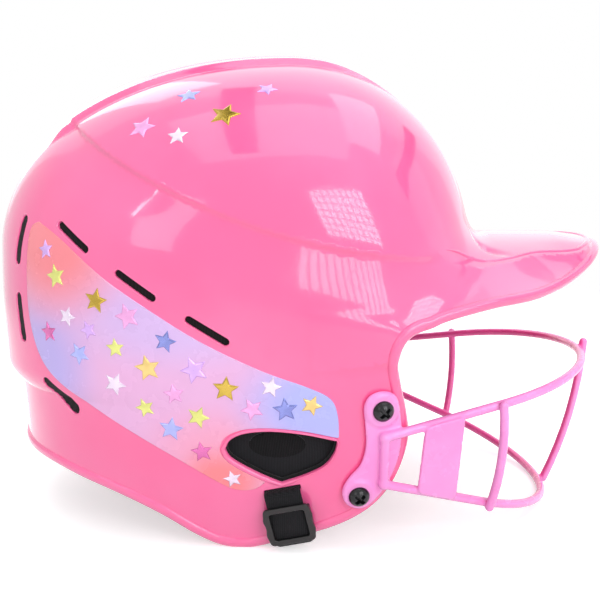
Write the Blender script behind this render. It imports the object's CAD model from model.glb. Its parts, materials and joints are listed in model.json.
"""Softball batting helmet with a bolted wire face guard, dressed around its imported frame.

Lengths inside the classes are millimetres in the row's frame: +X to the face, +Y to the wearer's left, +Z up.
"""
import json
import logging
from dataclasses import dataclass
from enum import Enum
from typing import Callable

import bpy
import numpy as np
from mathutils import Matrix, Vector

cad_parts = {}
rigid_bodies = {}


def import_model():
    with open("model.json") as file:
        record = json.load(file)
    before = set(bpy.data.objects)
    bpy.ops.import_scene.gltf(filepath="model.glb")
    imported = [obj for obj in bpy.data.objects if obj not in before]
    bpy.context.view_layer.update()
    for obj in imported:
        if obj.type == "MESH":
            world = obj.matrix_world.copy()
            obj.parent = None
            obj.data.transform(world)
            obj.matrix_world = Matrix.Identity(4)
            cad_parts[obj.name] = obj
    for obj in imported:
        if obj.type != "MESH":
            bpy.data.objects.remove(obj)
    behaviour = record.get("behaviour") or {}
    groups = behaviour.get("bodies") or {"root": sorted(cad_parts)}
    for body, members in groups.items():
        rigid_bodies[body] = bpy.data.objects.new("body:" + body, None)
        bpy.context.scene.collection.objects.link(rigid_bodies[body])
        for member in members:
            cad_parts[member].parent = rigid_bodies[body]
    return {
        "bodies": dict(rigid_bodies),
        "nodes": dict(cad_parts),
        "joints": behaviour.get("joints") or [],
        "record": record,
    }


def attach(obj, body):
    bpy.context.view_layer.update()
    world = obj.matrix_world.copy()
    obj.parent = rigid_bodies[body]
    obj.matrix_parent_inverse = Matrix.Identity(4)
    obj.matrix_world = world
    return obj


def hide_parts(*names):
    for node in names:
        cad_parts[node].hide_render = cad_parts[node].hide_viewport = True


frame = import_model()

log = logging.getLogger("helmet")
MM = 0.001
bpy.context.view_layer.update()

Array = np.ndarray
Field = Callable[[Array], Array]


# Plain arithmetic on arrays of points


def smooth(t: Array) -> Array:
    """Cubic step from 0 to 1: t*t*(3 - 2*t) with t held between 0 and 1."""
    t = np.clip(t, 0.0, 1.0)
    return t * t * (3.0 - 2.0 * t)


def mix(a: Array, b: Array, t: Array) -> Array:
    """Straight blend from a to b."""
    return a + (b - a) * t


def unit(v: Array) -> Array:
    """Vectors along the last axis at length 1."""
    return v / np.maximum(np.linalg.norm(v, axis=-1, keepdims=True), 1e-12)


def round_max(a: Array, b: Array, k: float) -> Array:
    """Greater of two distances, with the corner rounded over k."""
    h = np.clip(0.5 + 0.5 * (a - b) / k, 0.0, 1.0)
    return b * (1.0 - h) + a * h + k * h * (1.0 - h)


def round_min(a: Array, b: Array, k: float) -> Array:
    """Lesser of two distances, with the valley filled over k."""
    return -round_max(-a, -b, k)


def power(v: Array, e: float) -> Array:
    """Power that keeps the sign."""
    return np.sign(v) * np.abs(v) ** e


def catmull(points: Array, steps: int, closed: bool = False) -> Array:
    """Catmull-Rom curve through points, as one array.

    Args:
        points: Control points, one a row.
        steps: Samples between two control points.
        closed: Whether the last point joins the first.

    Returns:
        The samples, with the last control point at the end where the curve is open.
    """
    p = np.asarray(points, float)
    n = len(p)
    i = np.arange(n if closed else n - 1)
    pick = (lambda k: p[k % n]) if closed else (lambda k: p[np.clip(k, 0, n - 1)])
    a, b, c, d = (pick(i + s)[:, None, :] for s in (-1, 0, 1, 2))
    t = (np.arange(steps) / steps)[None, :, None]
    q = 0.5 * (2 * b + (c - a) * t + (2 * a - 5 * b + 4 * c - d) * t**2 + (3 * b - a - 3 * c + d) * t**3)
    q = q.reshape(-1, p.shape[1])
    return q if closed else np.vstack([q, p[-1:]])


def evenly(points: Array, spacing: float, closed: bool = False) -> Array:
    """The same polyline with equal steps of about spacing along it.

    Args:
        points: Corners of the polyline, one a row.
        spacing: Wanted length of a step.
        closed: Whether the last point joins the first.

    Returns:
        The new points, one a row.
    """
    p = np.vstack([points, points[:1]]) if closed else np.asarray(points, float)
    run = np.concatenate([[0.0], np.cumsum(np.linalg.norm(np.diff(p, axis=0), axis=1))])
    n = max(8, int(round(run[-1] / spacing)))
    s = np.linspace(0.0, run[-1], n + 1)[: n if closed else n + 1]
    return np.stack([np.interp(s, run, p[:, k]) for k in range(p.shape[1])], axis=1)


def outline_distance(q: Array, outline: Array) -> Array:
    """Signed distance of plane points from a closed outline, negative inside.

    Args:
        q: Points in the plane, one a row.
        outline: Corners of the closed outline.

    Returns:
        One distance for each point: the least distance to an edge, with the sign of the crossing count.
    """
    a, b = outline, np.roll(outline, -1, axis=0)
    best = np.full(len(q), np.inf)
    inside = np.zeros(len(q), bool)
    for p0, p1 in zip(a, b):
        e = p1 - p0
        w = q - p0
        t = np.clip(w @ e / max(e @ e, 1e-12), 0.0, 1.0)
        best = np.minimum(best, ((w - t[:, None] * e) ** 2).sum(1))
        over = (p0[1] <= q[:, 1]) != (p1[1] <= q[:, 1])
        cross = e[0] * w[:, 1] - e[1] * w[:, 0]
        inside ^= over & ((cross > 0) == (p1[1] > p0[1]))
    return np.where(inside, -1.0, 1.0) * np.sqrt(best)


def gradient(form: Field, p: Array, h: float = 0.15) -> Array:
    """Central differences of a field along X, Y and Z."""
    steps = h * np.eye(3)
    return np.stack([(form(p + s) - form(p - s)) / (2 * h) for s in steps], axis=-1)


def settle(form: Field, p: Array, rounds: int = 5, level: float = 0.0) -> Array:
    """Newton steps along the gradient that bring points onto form = level.

    Args:
        form: Field whose level the points are brought onto.
        p: Points to move.
        rounds: Number of steps.
        level: Value of the field to reach.

    Returns:
        The moved points.
    """
    for _ in range(rounds):
        g = gradient(form, p)
        p = p - ((form(p) - level) / np.maximum((g * g).sum(-1), 1e-9))[:, None] * g
    return p


# Meshes


@dataclass
class Net:
    """Points and faces of a surface, in millimetres."""

    points: Array
    faces: Array
    normals: Array | None = None

    def joined(self, other: "Net") -> "Net":
        """Both nets as one, where both have triangles or both have quads."""
        return Net(np.vstack([self.points, other.points]),
                   np.vstack([self.faces, other.faces + len(self.points)]),
                   None if self.normals is None else np.vstack([self.normals, other.normals]))

    def mirrored(self) -> "Net":
        """The net's mirror image across Y = 0, with its faces turned to point outwards."""
        flip = np.array([1.0, -1.0, 1.0])
        return Net(self.points * flip, self.faces[:, ::-1],
                   None if self.normals is None else self.normals * flip)

    def triangles(self) -> "Net":
        """The net with each quad cut in two."""
        if self.faces.shape[1] == 3:
            return self
        f = self.faces
        return Net(self.points, np.vstack([f[:, [0, 1, 2]], f[:, [0, 2, 3]]]), self.normals)


def gathered(nets: list[Net]) -> Net:
    """All the nets as one."""
    joined = nets[0]
    for net in nets[1:]:
        joined = joined.joined(net)
    return joined


def grid_faces(rows: int, cols: int, wrap_rows: bool, wrap_cols: bool) -> Array:
    """Quads of a grid of rows by cols points, closed round either way if asked.

    Args:
        rows: Rows of points.
        cols: Points in a row.
        wrap_rows: Whether the last row joins the first.
        wrap_cols: Whether a row's last point joins its first.

    Returns:
        Four point numbers for each quad.
    """
    j = np.arange(rows if wrap_rows else rows - 1)[:, None]
    i = np.arange(cols if wrap_cols else cols - 1)[None, :]
    j1, i1 = (j + 1) % rows, (i + 1) % cols
    return np.stack([j * cols + i, j * cols + i1, j1 * cols + i1, j1 * cols + i], axis=-1).reshape(-1, 4)


def surface_net(form: Field, low: Array, high: Array, step: float, level: float = 0.0, block: int = 8) -> Net:
    """Mesh of form = level by surface nets: one point in each cell that the surface crosses.

    A cell's point is the mean of the crossings on its edges, brought onto the surface by Newton steps. A quad
    joins the four cells round each crossed edge. Only blocks of cells near the surface are sampled.

    Args:
        form: Field that is negative inside and grows by about 1 for each millimetre outwards.
        low: Lowest corner of the box that holds the surface.
        high: Highest corner of that box.
        step: Size of a cell.
        level: Value of the field on the surface.
        block: Cells along a block's side.

    Returns:
        The quads, with exact normals from the field's gradient.
    """
    low, high = np.asarray(low, float), np.asarray(high, float)
    blocks = np.ceil((high - low) / (step * block)).astype(int)
    n = blocks * block + 1
    corner = np.stack(np.meshgrid(*(np.arange(b) for b in blocks), indexing="ij"), -1).reshape(-1, 3)
    middle = low + (corner + 0.5) * block * step
    near = np.abs(form(middle) - level) < block * step * 1.35
    values = np.full(n, 1e3)
    cell = np.stack(np.meshgrid(*[np.arange(block + 1)] * 3, indexing="ij"), -1).reshape(-1, 3)
    deep = form(middle) - level < 0
    solid = corner[deep & ~near]
    for part in np.array_split(solid, max(1, len(solid) // 400)):
        at = (part[:, None, :] * block + cell[None]).reshape(-1, 3)
        values[at[:, 0], at[:, 1], at[:, 2]] = -1e3
    wanted = corner[near]
    for part in np.array_split(wanted, max(1, len(wanted) // 200)):
        at = (part[:, None, :] * block + cell[None]).reshape(-1, 3)
        values[at[:, 0], at[:, 1], at[:, 2]] = form(low + at * step) - level
    inside = values < 0
    total = np.zeros((*(n - 1), 3))
    count = np.zeros(n - 1)
    quads = []
    for axis in range(3):
        u, v = (axis + 1) % 3, (axis + 2) % 3
        first = tuple(slice(0, -1) if k == axis else slice(None) for k in range(3))
        second = tuple(slice(1, None) if k == axis else slice(None) for k in range(3))
        hit = np.argwhere(inside[first] != inside[second])
        ahead = hit.copy()
        ahead[:, axis] += 1
        v0, v1 = values[tuple(hit.T)], values[tuple(ahead.T)]
        at = hit.astype(float)
        at[:, axis] += v0 / (v0 - v1)
        around = []
        for du, dv in ((0, 0), (-1, 0), (-1, -1), (0, -1)):
            c = hit.copy()
            c[:, u] += du
            c[:, v] += dv
            around.append(c)
        ok = np.all([(c >= 0).all(1) & (c < n - 1).all(1) for c in around], axis=0)
        for c in around:
            c = c[ok]
            np.add.at(total, tuple(c.T), at[ok])
            np.add.at(count, tuple(c.T), 1)
        quad = np.stack([np.ravel_multi_index(c[ok].T, n - 1) for c in around], axis=1)
        turn = (v0 < 0)[ok]
        quads.append(np.where(turn[:, None], quad, quad[:, ::-1]))
    faces = np.vstack(quads)
    used, flat = np.unique(faces, return_inverse=True)
    total, count = total.reshape(-1, 3)[used], count.reshape(-1)[used]
    start = low + step * total / count[:, None]
    points = start + np.clip(settle(form, start, 4, level) - start, -step, step)
    return Net(points, flat.reshape(faces.shape), unit(gradient(form, points)))


def trimmed(net: Net, keep: Field, form: Field, level: float = 0.0) -> Net:
    """The part of a net where keep is positive, cut through its triangles.

    Args:
        net: Surface to cut.
        keep: Field that is positive on the side that stays.
        form: Field of the surface, which the cut points are brought back onto.
        level: Value of form on the surface.

    Returns:
        Triangles whose border lies on keep = 0.
    """
    net = net.triangles()
    value = keep(net.points)
    stays = value > 0
    f = net.faces
    number = stays[f].sum(1)
    one, two = f[number == 1], f[number == 2]
    one = np.take_along_axis(one, (np.argmax(stays[one], axis=1)[:, None] + np.arange(3)) % 3, axis=1)
    two = np.take_along_axis(two, (np.argmin(stays[two], axis=1)[:, None] + np.arange(3)) % 3, axis=1)
    pairs = np.vstack([one[:, [0, 1]], one[:, [0, 2]], two[:, [0, 1]], two[:, [0, 2]]])
    keys, back = np.unique(np.sort(pairs, axis=1), axis=0, return_inverse=True)
    back = back.reshape(-1)
    v0, v1 = value[keys[:, 0]], value[keys[:, 1]]
    t = (v0 / (v0 - v1))[:, None]
    cut = mix(net.points[keys[:, 0]], net.points[keys[:, 1]], t)
    cut = on_both(cut, keep, form, level, 2)
    ids = back + len(net.points)
    a, b = len(one), len(two)
    ab, ac, ob, oc = ids[:a], ids[a:2 * a], ids[2 * a:2 * a + b], ids[2 * a + b:]
    faces = np.vstack([f[number == 3], np.stack([one[:, 0], ab, ac], 1),
                       np.stack([ob, two[:, 1], two[:, 2]], 1), np.stack([ob, two[:, 2], oc], 1)])
    points = np.vstack([net.points, cut])
    used, flat = np.unique(faces, return_inverse=True)
    points = points[used]
    return Net(points, flat.reshape(faces.shape), unit(gradient(form, points)))


def on_both(p: Array, keep: Field, form: Field, level: float, rounds: int) -> Array:
    """Points brought onto keep = 0 and form = level by turns.

    Args:
        p: Points to move.
        keep: First field, brought to 0.
        form: Second field.
        level: Value that the second field is brought to.
        rounds: Number of turns.

    Returns:
        The moved points.
    """
    for _ in range(rounds):
        p = settle(keep, p, 1)
        p = settle(form, p, 1, level)
    return p


def piece(name: str, net: Net, finish: bpy.types.Material, body: str,
          nodes: tuple[str, ...] = ()) -> bpy.types.Object:
    """Makes a Blender object from a net, lets it ride on a body and says which nodes it stands for.

    Args:
        name: Name of the piece.
        net: Its surface, in millimetres.
        finish: Its material.
        body: Body that it rides on.
        nodes: CAD nodes that it replaces.

    Returns:
        The new object.
    """
    mesh = bpy.data.meshes.new(name)
    f = net.faces
    if f.shape[1] == 4:
        is_tri = f[:, 2] == f[:, 3]
        sizes = np.where(is_tri, 3, 4)
        mask = np.ones_like(f, bool)
        mask[:, 3] = ~is_tri
        loops = f[mask]
    else:
        sizes = np.full(len(f), 3)
        loops = f.reshape(-1)
    mesh.vertices.add(len(net.points))
    mesh.vertices.foreach_set("co", (net.points * MM).astype(np.float32).ravel())
    mesh.loops.add(len(loops))
    mesh.loops.foreach_set("vertex_index", loops.astype(np.int32))
    mesh.polygons.add(len(f))
    mesh.polygons.foreach_set("loop_start", np.concatenate([[0], np.cumsum(sizes)[:-1]]).astype(np.int32))
    mesh.polygons.foreach_set("use_smooth", np.ones(len(f), bool))
    mesh.update(calc_edges=True)
    mesh.validate()
    if net.normals is not None and len(mesh.vertices) == len(net.normals):
        mesh.normals_split_custom_set_from_vertices(net.normals.astype(np.float32))
    mesh.materials.append(finish)
    made = bpy.data.objects.new(name, mesh)
    bpy.context.scene.collection.objects.link(made)
    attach(made, body)
    if nodes:
        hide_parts(*nodes)
    log.info("%s: %d points, %d faces", name, len(net.points), len(f))
    return made


# The shell's own form


@dataclass(frozen=True)
class ShellForm:
    """The helmet's outer surface as one field, with its sizes in millimetres."""

    middle_x: float = -8.0
    front: float = 91.0
    rear: float = 139.0
    half_width: float = 97.0
    level: float = 129.0
    rise: float = 87.5
    wall: float = 3.0
    n_crown: float = 2.2
    n_flap: float = 3.0
    n_back: float = 2.45
    n_rise: float = 2.1
    plan_from: float = 165.0
    plan_over: float = 65.0
    tuck_depth: float = 6.8
    tuck_from: float = 76.0
    tuck_over: float = 10.0
    nape_taper: float = 0.6
    band_rise: float = 3.0
    recess: float = 1.9
    visor_x: float = 48.0
    visor_reach: float = 101.0
    visor_half_width: float = 88.0
    visor_top: float = 133.0
    visor_edge: float = 100.0
    scoop_depth: float = 1.6

    def tuck(self, z: Array) -> Array:
        """How far the rear is drawn in at height z: depth * t**2 down to a crease, then a slow taper."""
        crease = self.tuck_from - self.tuck_over
        return (self.tuck_depth * np.clip((self.tuck_from - z) / self.tuck_over, 0, 1) ** 2
                + self.nape_taper * np.clip((crease - z) / 20, 0, 1))

    def exponent(self, behind: Array, z: Array) -> Array:
        """Power of the dome's outline in plan: the crown's, blended lower down into the back's or flaps'."""
        low = np.where(behind, self.n_back, self.n_flap)
        return mix(self.n_crown, low, smooth((self.plan_from - z) / self.plan_over))

    def dome(self, p: Array) -> Array:
        """Dome: superellipses in plan whose size follows a superellipse over height.

        Args:
            p: Points.

        Returns:
            Distances, negative inside.
        """
        x, ya, z = p[..., 0], np.abs(p[..., 1]), p[..., 2]
        over = np.clip((z - self.level) / self.rise, 0, None)
        under = np.clip((self.level - z) / 100, 0, None)
        u = x - self.middle_x
        behind = u < 0
        n = self.exponent(behind, z)
        length = np.where(behind, self.rear * (1 - 0.01 * under**2) - self.tuck(z), self.front)
        width = self.half_width * (1 - 0.09 * under**2)
        e = ((np.abs(u) / length) ** n + (ya / width) ** n) ** (1 / n)
        share = (e**self.n_rise + over**2) ** (1 / self.n_rise)
        zc = np.minimum(z, self.level)
        return np.sqrt(u * u + ya * ya + (z - zc) ** 2) * (1 - 1 / np.maximum(share, 1e-3))

    def centre_band(self, p: Array) -> Array:
        """Height of the raised centre band: a plateau in two steps that narrows and fades to the front."""
        x, y = p[..., 0], np.abs(p[..., 1])
        half = 36 - 16 * smooth((x + 110) / 150)
        steps = 0.84 * smooth((half + 2.5 - y) / 4.2) + 0.16 * smooth((half - 10 - y) / 4)
        return self.band_rise * steps * smooth((x + 118) / 9) * smooth((55 - x) / 45)

    def side_recess(self, p: Array) -> Array:
        """Depth under the side crease, full just below it and faded out 34 mm lower."""
        x, z = p[..., 0], p[..., 2]
        below = 140.3 - 0.2723 * x + 0.0018 * x * x - z
        depth = self.recess * smooth((x + 125) / 30) * smooth((78 - x) / 40)
        return depth * smooth(below / 3.4) * (1 - smooth((below - 4) / 30))

    def edge_height(self, x: Array) -> Array:
        """Height of the visor's edge over x."""
        t = np.clip((x - self.visor_x) / self.visor_reach, 0, 1)
        return (self.visor_edge + 11 * np.sin(np.clip(t / 0.5, 0, 1) * np.pi / 2) ** 1.2
                + 17.5 * np.clip((t - 0.45) / 0.55, 0, 1) ** 1.7)

    def ridge(self, x: Array, y: Array) -> Array:
        """Share of the visor's oval at which its flank starts: 0.815 at the sides, near the edge in front."""
        turn = np.degrees(np.arctan2(np.abs(y) / self.visor_half_width,
                                     (x - self.visor_x) / self.visor_reach))
        return 0.815 + 0.14 * smooth((46 - turn) / 19) + 0.06 * smooth((turn - 70) / 14)

    def visor(self, p: Array) -> Array:
        """Visor: a crowned plateau inside an oval, with a flank that falls from its ridge to its edge.

        Args:
            p: Points.

        Returns:
            Distances, negative inside.
        """
        x, y, z = p[..., 0], np.abs(p[..., 1]), p[..., 2]
        along = np.clip(x - self.visor_x, 0, None) / self.visor_reach
        e = np.sqrt(along**2 + (y / self.visor_half_width) ** 2)
        corner = 1.5 * smooth((y - 24) / 24) * smooth((x - 108) / 24)
        plateau = self.visor_top - 0.0022 * y * y - 2 * smooth((x - 125) / 25) - corner
        ridge = self.ridge(x, y)
        scoop = self.scoop_depth * np.exp(-(((x - 88) / 6) ** 2) - ((y - 43.5 - 0.85 * (x - 88)) / 3.4) ** 2)
        top = plateau - scoop - (plateau - self.edge_height(x)) * np.clip((e - ridge) / (1 - ridge), 0, 1.3)
        walls = np.maximum(np.maximum((e - 1) * 90, 15 - x), 92 - z)
        return round_max((z - top) * 0.8, walls, 3)

    def __call__(self, p: Array) -> Array:
        """Field of the whole outer surface: dome, band and recess, blended into the visor."""
        body = self.dome(p) - self.centre_band(p) + self.side_recess(p)
        return round_min(body, self.visor(p), 12)

    def side_y(self, x: Array, z: Array, depth: float = 0.0) -> Array:
        """Y of the left side at x and z, on the surface that lies depth inside the outer one.

        Args:
            x: Places along X.
            z: Heights.
            depth: How far inside the outer surface.

        Returns:
            One Y for each place.
        """
        x = np.asarray(x, float)
        p = np.stack([x, np.full_like(x, 85.0), np.asarray(z, float)], -1)
        for _ in range(12):
            slope = (self(p + [0, 0.2, 0]) - self(p - [0, 0.2, 0])) / 0.4
            p[..., 1] -= np.clip((self(p) + depth) / np.maximum(slope, 0.15), -12, 12)
        return p[..., 1]


SHELL = ShellForm()


@dataclass(frozen=True)
class SideOutlines:
    """Outlines that cut or cover the shell, drawn in side view as X and Z."""

    rim_rear: tuple = ((-175, 34.4), (-150, 33.9), (-117, 32.2), (-97, 28.2), (-78, 22.9), (-60, 15.2),
                       (-45, 6.3), (-35, 1.5), (-28, 0))
    rim_front: tuple = ((-20, 0), (-13, 1.8), (-4, 4.6), (6, 7.6), (15, 10.6), (25, 15.2), (34, 21.5),
                        (41, 30), (46, 41), (48.5, 53), (47, 65), (44.5, 76), (43, 86), (45, 94), (50, 99.2),
                        (58, 102))
    ear_top: tuple = ((-30, 48.5), (-27.5, 53), (-21, 56), (-10, 57), (4, 55.6), (18, 52.5))
    ear_front: tuple = ((18, 52.5), (16.8, 47), (12.5, 41), (4.5, 36.6), (-6, 32.5))
    ear_rear: tuple = ((-6, 32.5), (-15, 36.5), (-24, 41.5), (-28.5, 45), (-30, 48.5))
    panel_top: tuple = ((-112.5, 143.6), (-100, 136.6), (-81, 122), (-60, 108.6), (-39, 96), (-14, 84),
                        (6, 76.5), (15, 71.5), (18, 64), (18.6, 53.8))
    panel_ear: tuple = ((18.6, 53.8), (4, 57), (-10, 58.4), (-21.5, 57.7), (-29.3, 54.4), (-32.3, 48.6),
                        (-30.2, 43.9), (-24.8, 39.6), (-13, 33))
    panel_low: tuple = ((-13, 33), (-18, 29.5), (-26, 29.3), (-34, 33), (-50, 42.5), (-67, 52), (-84, 61.4),
                        (-103, 72.6), (-113.3, 83), (-118.4, 99), (-119.4, 118), (-118.3, 134),
                        (-116.4, 141.4), (-112.5, 143.6))
    vents: tuple = ((-123.8, 135, 97), (-95, 138.2, 33.5), (-66.5, 119, 33), (-36.3, 100.8, 31),
                    (-124.8, 100, 84), (-104.6, 66.9, 37))
    vent_width: float = 3.3
    vent_length: float = 21.0

    def vent_radius(self, x: float) -> float:
        """Half the width of the vent slot at x; the rear ones are wider."""
        return self.vent_width / 2 * (1.45 if x < -100 else 1.0)

    def rim(self) -> Array:
        """Lower border of the shell, from behind the rear to the temple and along the visor's edge."""
        front = np.arange(62, 164, 4.0)
        edge = np.stack([front, SHELL.edge_height(front)], 1)
        return np.vstack([catmull(self.rim_rear, 6), catmull(self.rim_front, 6), edge])

    def ear(self) -> Array:
        """Leaf-shaped ear hole."""
        return self.joined(self.ear_top, self.ear_front, self.ear_rear)

    def panel(self) -> Array:
        """Film panel, with its notch round the ear hole's lip."""
        return self.joined(self.panel_top, self.panel_ear, self.panel_low)

    def joined(self, *runs: tuple) -> Array:
        """Smooth runs that meet at corners, as one closed outline."""
        return np.vstack([catmull(r, 8)[:-1] for r in runs])

    def below_rim(self, p: Array) -> Array:
        """Distance over the rim in side view, positive on the shell's side."""
        low = np.vstack([self.rim(), [[175, 126], [175, -40], [-175, -40]]])
        return outline_distance(p[:, [0, 2]], low)


OUTLINES = SideOutlines()


def vertex_normals(net: Net) -> Net:
    """The net with the mean of its faces' directions at each point, weighted by their areas.

    Args:
        net: Net to dress.

    Returns:
        The same net with its normals.
    """
    f = net.triangles().faces
    a, b, c = (net.points[f[:, k]] for k in range(3))
    n = np.cross(b - a, c - a)
    total = np.zeros_like(net.points)
    for k in range(3):
        np.add.at(total, f[:, k], n)
    return Net(net.points, net.faces, unit(total))


def outward(net: Net) -> Net:
    """The net with its faces turned so that it holds a positive volume.

    Args:
        net: Closed net.

    Returns:
        The net, reversed where its faces pointed inwards.
    """
    f = net.triangles().faces
    a, b, c = (net.points[f[:, k]] for k in range(3))
    if (np.cross(a, b) * c).sum() < 0:
        net = Net(net.points, net.faces[:, ::-1] if net.faces.shape[1] == 3 else net.faces[:, [0, 3, 2, 1]])
    return net


@dataclass(frozen=True)
class Frame:
    """Place of a fitting on the shell's left side: X rearwards, Y up, Z outwards."""

    origin: Array
    back: Array
    up: Array
    out: Array

    @classmethod
    def on_side(cls, x: float, z: float, turn: float = 0.0) -> "Frame":
        """Frame on the dome at x and z, turned about its outward direction by some degrees.

        Args:
            x: Place along X.
            z: Height.
            turn: Turn about the outward direction, in degrees.

        Returns:
            The frame.
        """
        p = np.array([[x, SHELL.side_y(np.array([x]), np.array([z]))[0], z]])
        out = unit(gradient(SHELL, p))[0]
        back = unit(np.cross([0, 0, 1], out))
        up = np.cross(out, back)
        c, s = np.cos(np.radians(turn)), np.sin(np.radians(turn))
        return cls(p[0], c * back + s * up, c * up - s * back, out)

    def local(self, p: Array) -> Array:
        """Points in the frame's own coordinates."""
        w = p - self.origin
        return np.stack([w @ self.back, w @ self.up, w @ self.out], -1)

    def world(self, q: Array) -> Array:
        """Points given in the frame's own coordinates, in the row's frame."""
        q = np.asarray(q, float)
        return self.origin + q[..., :1] * self.back + q[..., 1:2] * self.up + q[..., 2:] * self.out

    def placed(self, net: Net) -> Net:
        """A net made in the frame's own coordinates, in its place."""
        turned = None
        if net.normals is not None:
            n = net.normals
            turned = n[:, :1] * self.back + n[:, 1:2] * self.up + n[:, 2:] * self.out
        return Net(self.world(net.points), net.faces, turned)


def left_half(p: Array) -> Array:
    """Points with those of the right half mirrored onto the left."""
    return np.stack([p[..., 0], np.abs(p[..., 1]), p[..., 2]], -1)


def bead(border: Array, towards: Field, profile: Array, closed: bool, widths: Array | None = None,
         sunk: Array | None = None) -> Net:
    """Bead along a border on the shell, whose profile follows the shell's surface.

    A profile point (b, n) lies b away from the border on the side of the wall, at n over the outer surface.

    Args:
        border: Points of the border, on the outer surface.
        towards: Field that grows from the border into the wall.
        profile: Closed profile of (b, n) pairs.
        closed: Whether the border closes.
        widths: Factor on b for each border point.
        sunk: How far the whole profile is sunk at each border point.

    Returns:
        The bead's quads with their normals, and flat ends where it is open.
    """
    n = unit(gradient(SHELL, border))
    b = gradient(towards, border)
    b = unit(b - (b * n).sum(1, keepdims=True) * n)
    factor = np.ones(len(border)) if widths is None else widths
    prof = np.asarray(profile, float)
    reach = prof[None, :, :1] * factor[:, None, None]
    points = border[:, None] + b[:, None] * reach + n[:, None] * prof[None, :, 1:]
    rows, cols = points.shape[:2]
    flat = points.reshape(-1, 3)
    drop = np.zeros(rows) if sunk is None else sunk
    level = (prof[None, :, 1] - drop[:, None]).reshape(-1)
    for _ in range(3):
        g = gradient(SHELL, flat)
        flat = flat - ((SHELL(flat) - level) / np.maximum((g * g).sum(-1), 0.3))[:, None] * g
    faces = grid_faces(rows, cols, closed, True)
    if not closed:
        i = np.arange(1, cols - 1)
        near = np.stack([0 * i, i + 1, i, i], 1)
        far = (rows - 1) * cols + np.stack([0 * i, i, i + 1, i + 1], 1)
        faces = np.vstack([faces, near, far])
    return vertex_normals(outward(Net(flat, faces)))


# Finishes


def linear(code: str) -> tuple[float, float, float, float]:
    """Colour written as six hex digits, in the linear numbers that a socket holds."""
    c = np.array([int(code[k:k + 2], 16) / 255 for k in (0, 2, 4)])
    return (*np.where(c <= 0.04045, c / 12.92, ((c + 0.055) / 1.055) ** 2.4).tolist(), 1.0)


class Graph:
    """Node tree of one material, built round its Principled shader."""

    def __init__(self, name: str, **sockets: object) -> None:
        """Makes the material; sockets are the shader's constants, with _ for a space in their names."""
        self.material = bpy.data.materials.new(name)
        self.material.use_nodes = True
        self.tree = self.material.node_tree
        self.shader = self.tree.nodes["Principled BSDF"]
        for key, value in sockets.items():
            self.shader.inputs[key.replace("_", " ")].default_value = value
        self.place = self.add("ShaderNodeTexCoord").outputs["Object"]

    def add(self, kind: str, wires: dict | None = None, **settings: object) -> bpy.types.Node:
        """New node with its settings, and its inputs given as values or as other nodes' outputs.

        Args:
            kind: Type of the node.
            wires: A socket or a value for each input.
            settings: Properties of the node.

        Returns:
            The node.
        """
        node = self.tree.nodes.new(kind)
        for key, value in settings.items():
            setattr(node, key, value)
        for key, value in (wires or {}).items():
            if isinstance(value, bpy.types.NodeSocket):
                self.tree.links.new(value, node.inputs[key])
            else:
                node.inputs[key].default_value = value
        return node

    def mapped(self, turn: tuple[float, float, float] = (0, 0, 0),
               scale: tuple[float, float, float] = (1, 1, 1)) -> bpy.types.NodeSocket:
        """Object coordinates turned by some degrees, then scaled."""
        inner = self.add("ShaderNodeMapping", {"Vector": self.place, "Rotation": tuple(np.radians(turn))})
        return self.add("ShaderNodeMapping", {"Vector": inner.outputs[0], "Scale": scale}).outputs[0]

    def noise(self, scale: float, detail: float = 2.0, rough: float = 0.5,
              vector: bpy.types.NodeSocket | None = None) -> bpy.types.NodeSocket:
        """Noise from 0 to 1, with this many cells a metre."""
        return self.add("ShaderNodeTexNoise", {"Vector": vector or self.place, "Scale": scale,
                                               "Detail": detail, "Roughness": rough}).outputs["Fac"]

    def sum(self, operation: str, a: object, b: object = 0.0) -> bpy.types.NodeSocket:
        """One sum on numbers."""
        return self.add("ShaderNodeMath", {0: a, 1: b}, operation=operation).outputs[0]

    def span(self, value: bpy.types.NodeSocket, low: float, high: float, to_low: float,
             to_high: float) -> bpy.types.NodeSocket:
        """Value carried from one range to another, smoothly and held at the ends."""
        ends = {"From Min": low, "From Max": high, "To Min": to_low, "To Max": to_high}
        wires = {"Value": value, **ends}
        return self.add("ShaderNodeMapRange", wires, interpolation_type="SMOOTHSTEP").outputs[0]

    def blend(self, share: object, a: object, b: object) -> bpy.types.NodeSocket:
        """Colour between a and b."""
        node = self.add("ShaderNodeMix", data_type="RGBA")
        for key, value in ((0, share), (6, a), (7, b)):
            if isinstance(value, bpy.types.NodeSocket):
                self.tree.links.new(value, node.inputs[key])
            else:
                node.inputs[key].default_value = value
        return node.outputs[2]

    def axes(self, vector: bpy.types.NodeSocket | None = None) -> tuple:
        """The three numbers of a vector."""
        return tuple(self.add("ShaderNodeSeparateXYZ", {0: vector or self.place}).outputs)

    def bump(self, height: bpy.types.NodeSocket, strength: float, distance: float,
             under: bpy.types.NodeSocket | None = None) -> bpy.types.NodeSocket:
        """Bump from a height, over another normal if given."""
        wires = {"Height": height, "Strength": strength, "Distance": distance}
        if under is not None:
            wires["Normal"] = under
        return self.add("ShaderNodeBump", wires).outputs[0]

    def into(self, **links: bpy.types.NodeSocket) -> bpy.types.Material:
        """Wires outputs into the shader's sockets and returns the material."""
        for key, value in links.items():
            self.tree.links.new(value, self.shader.inputs[key.replace("_", " ")])
        return self.material


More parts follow.
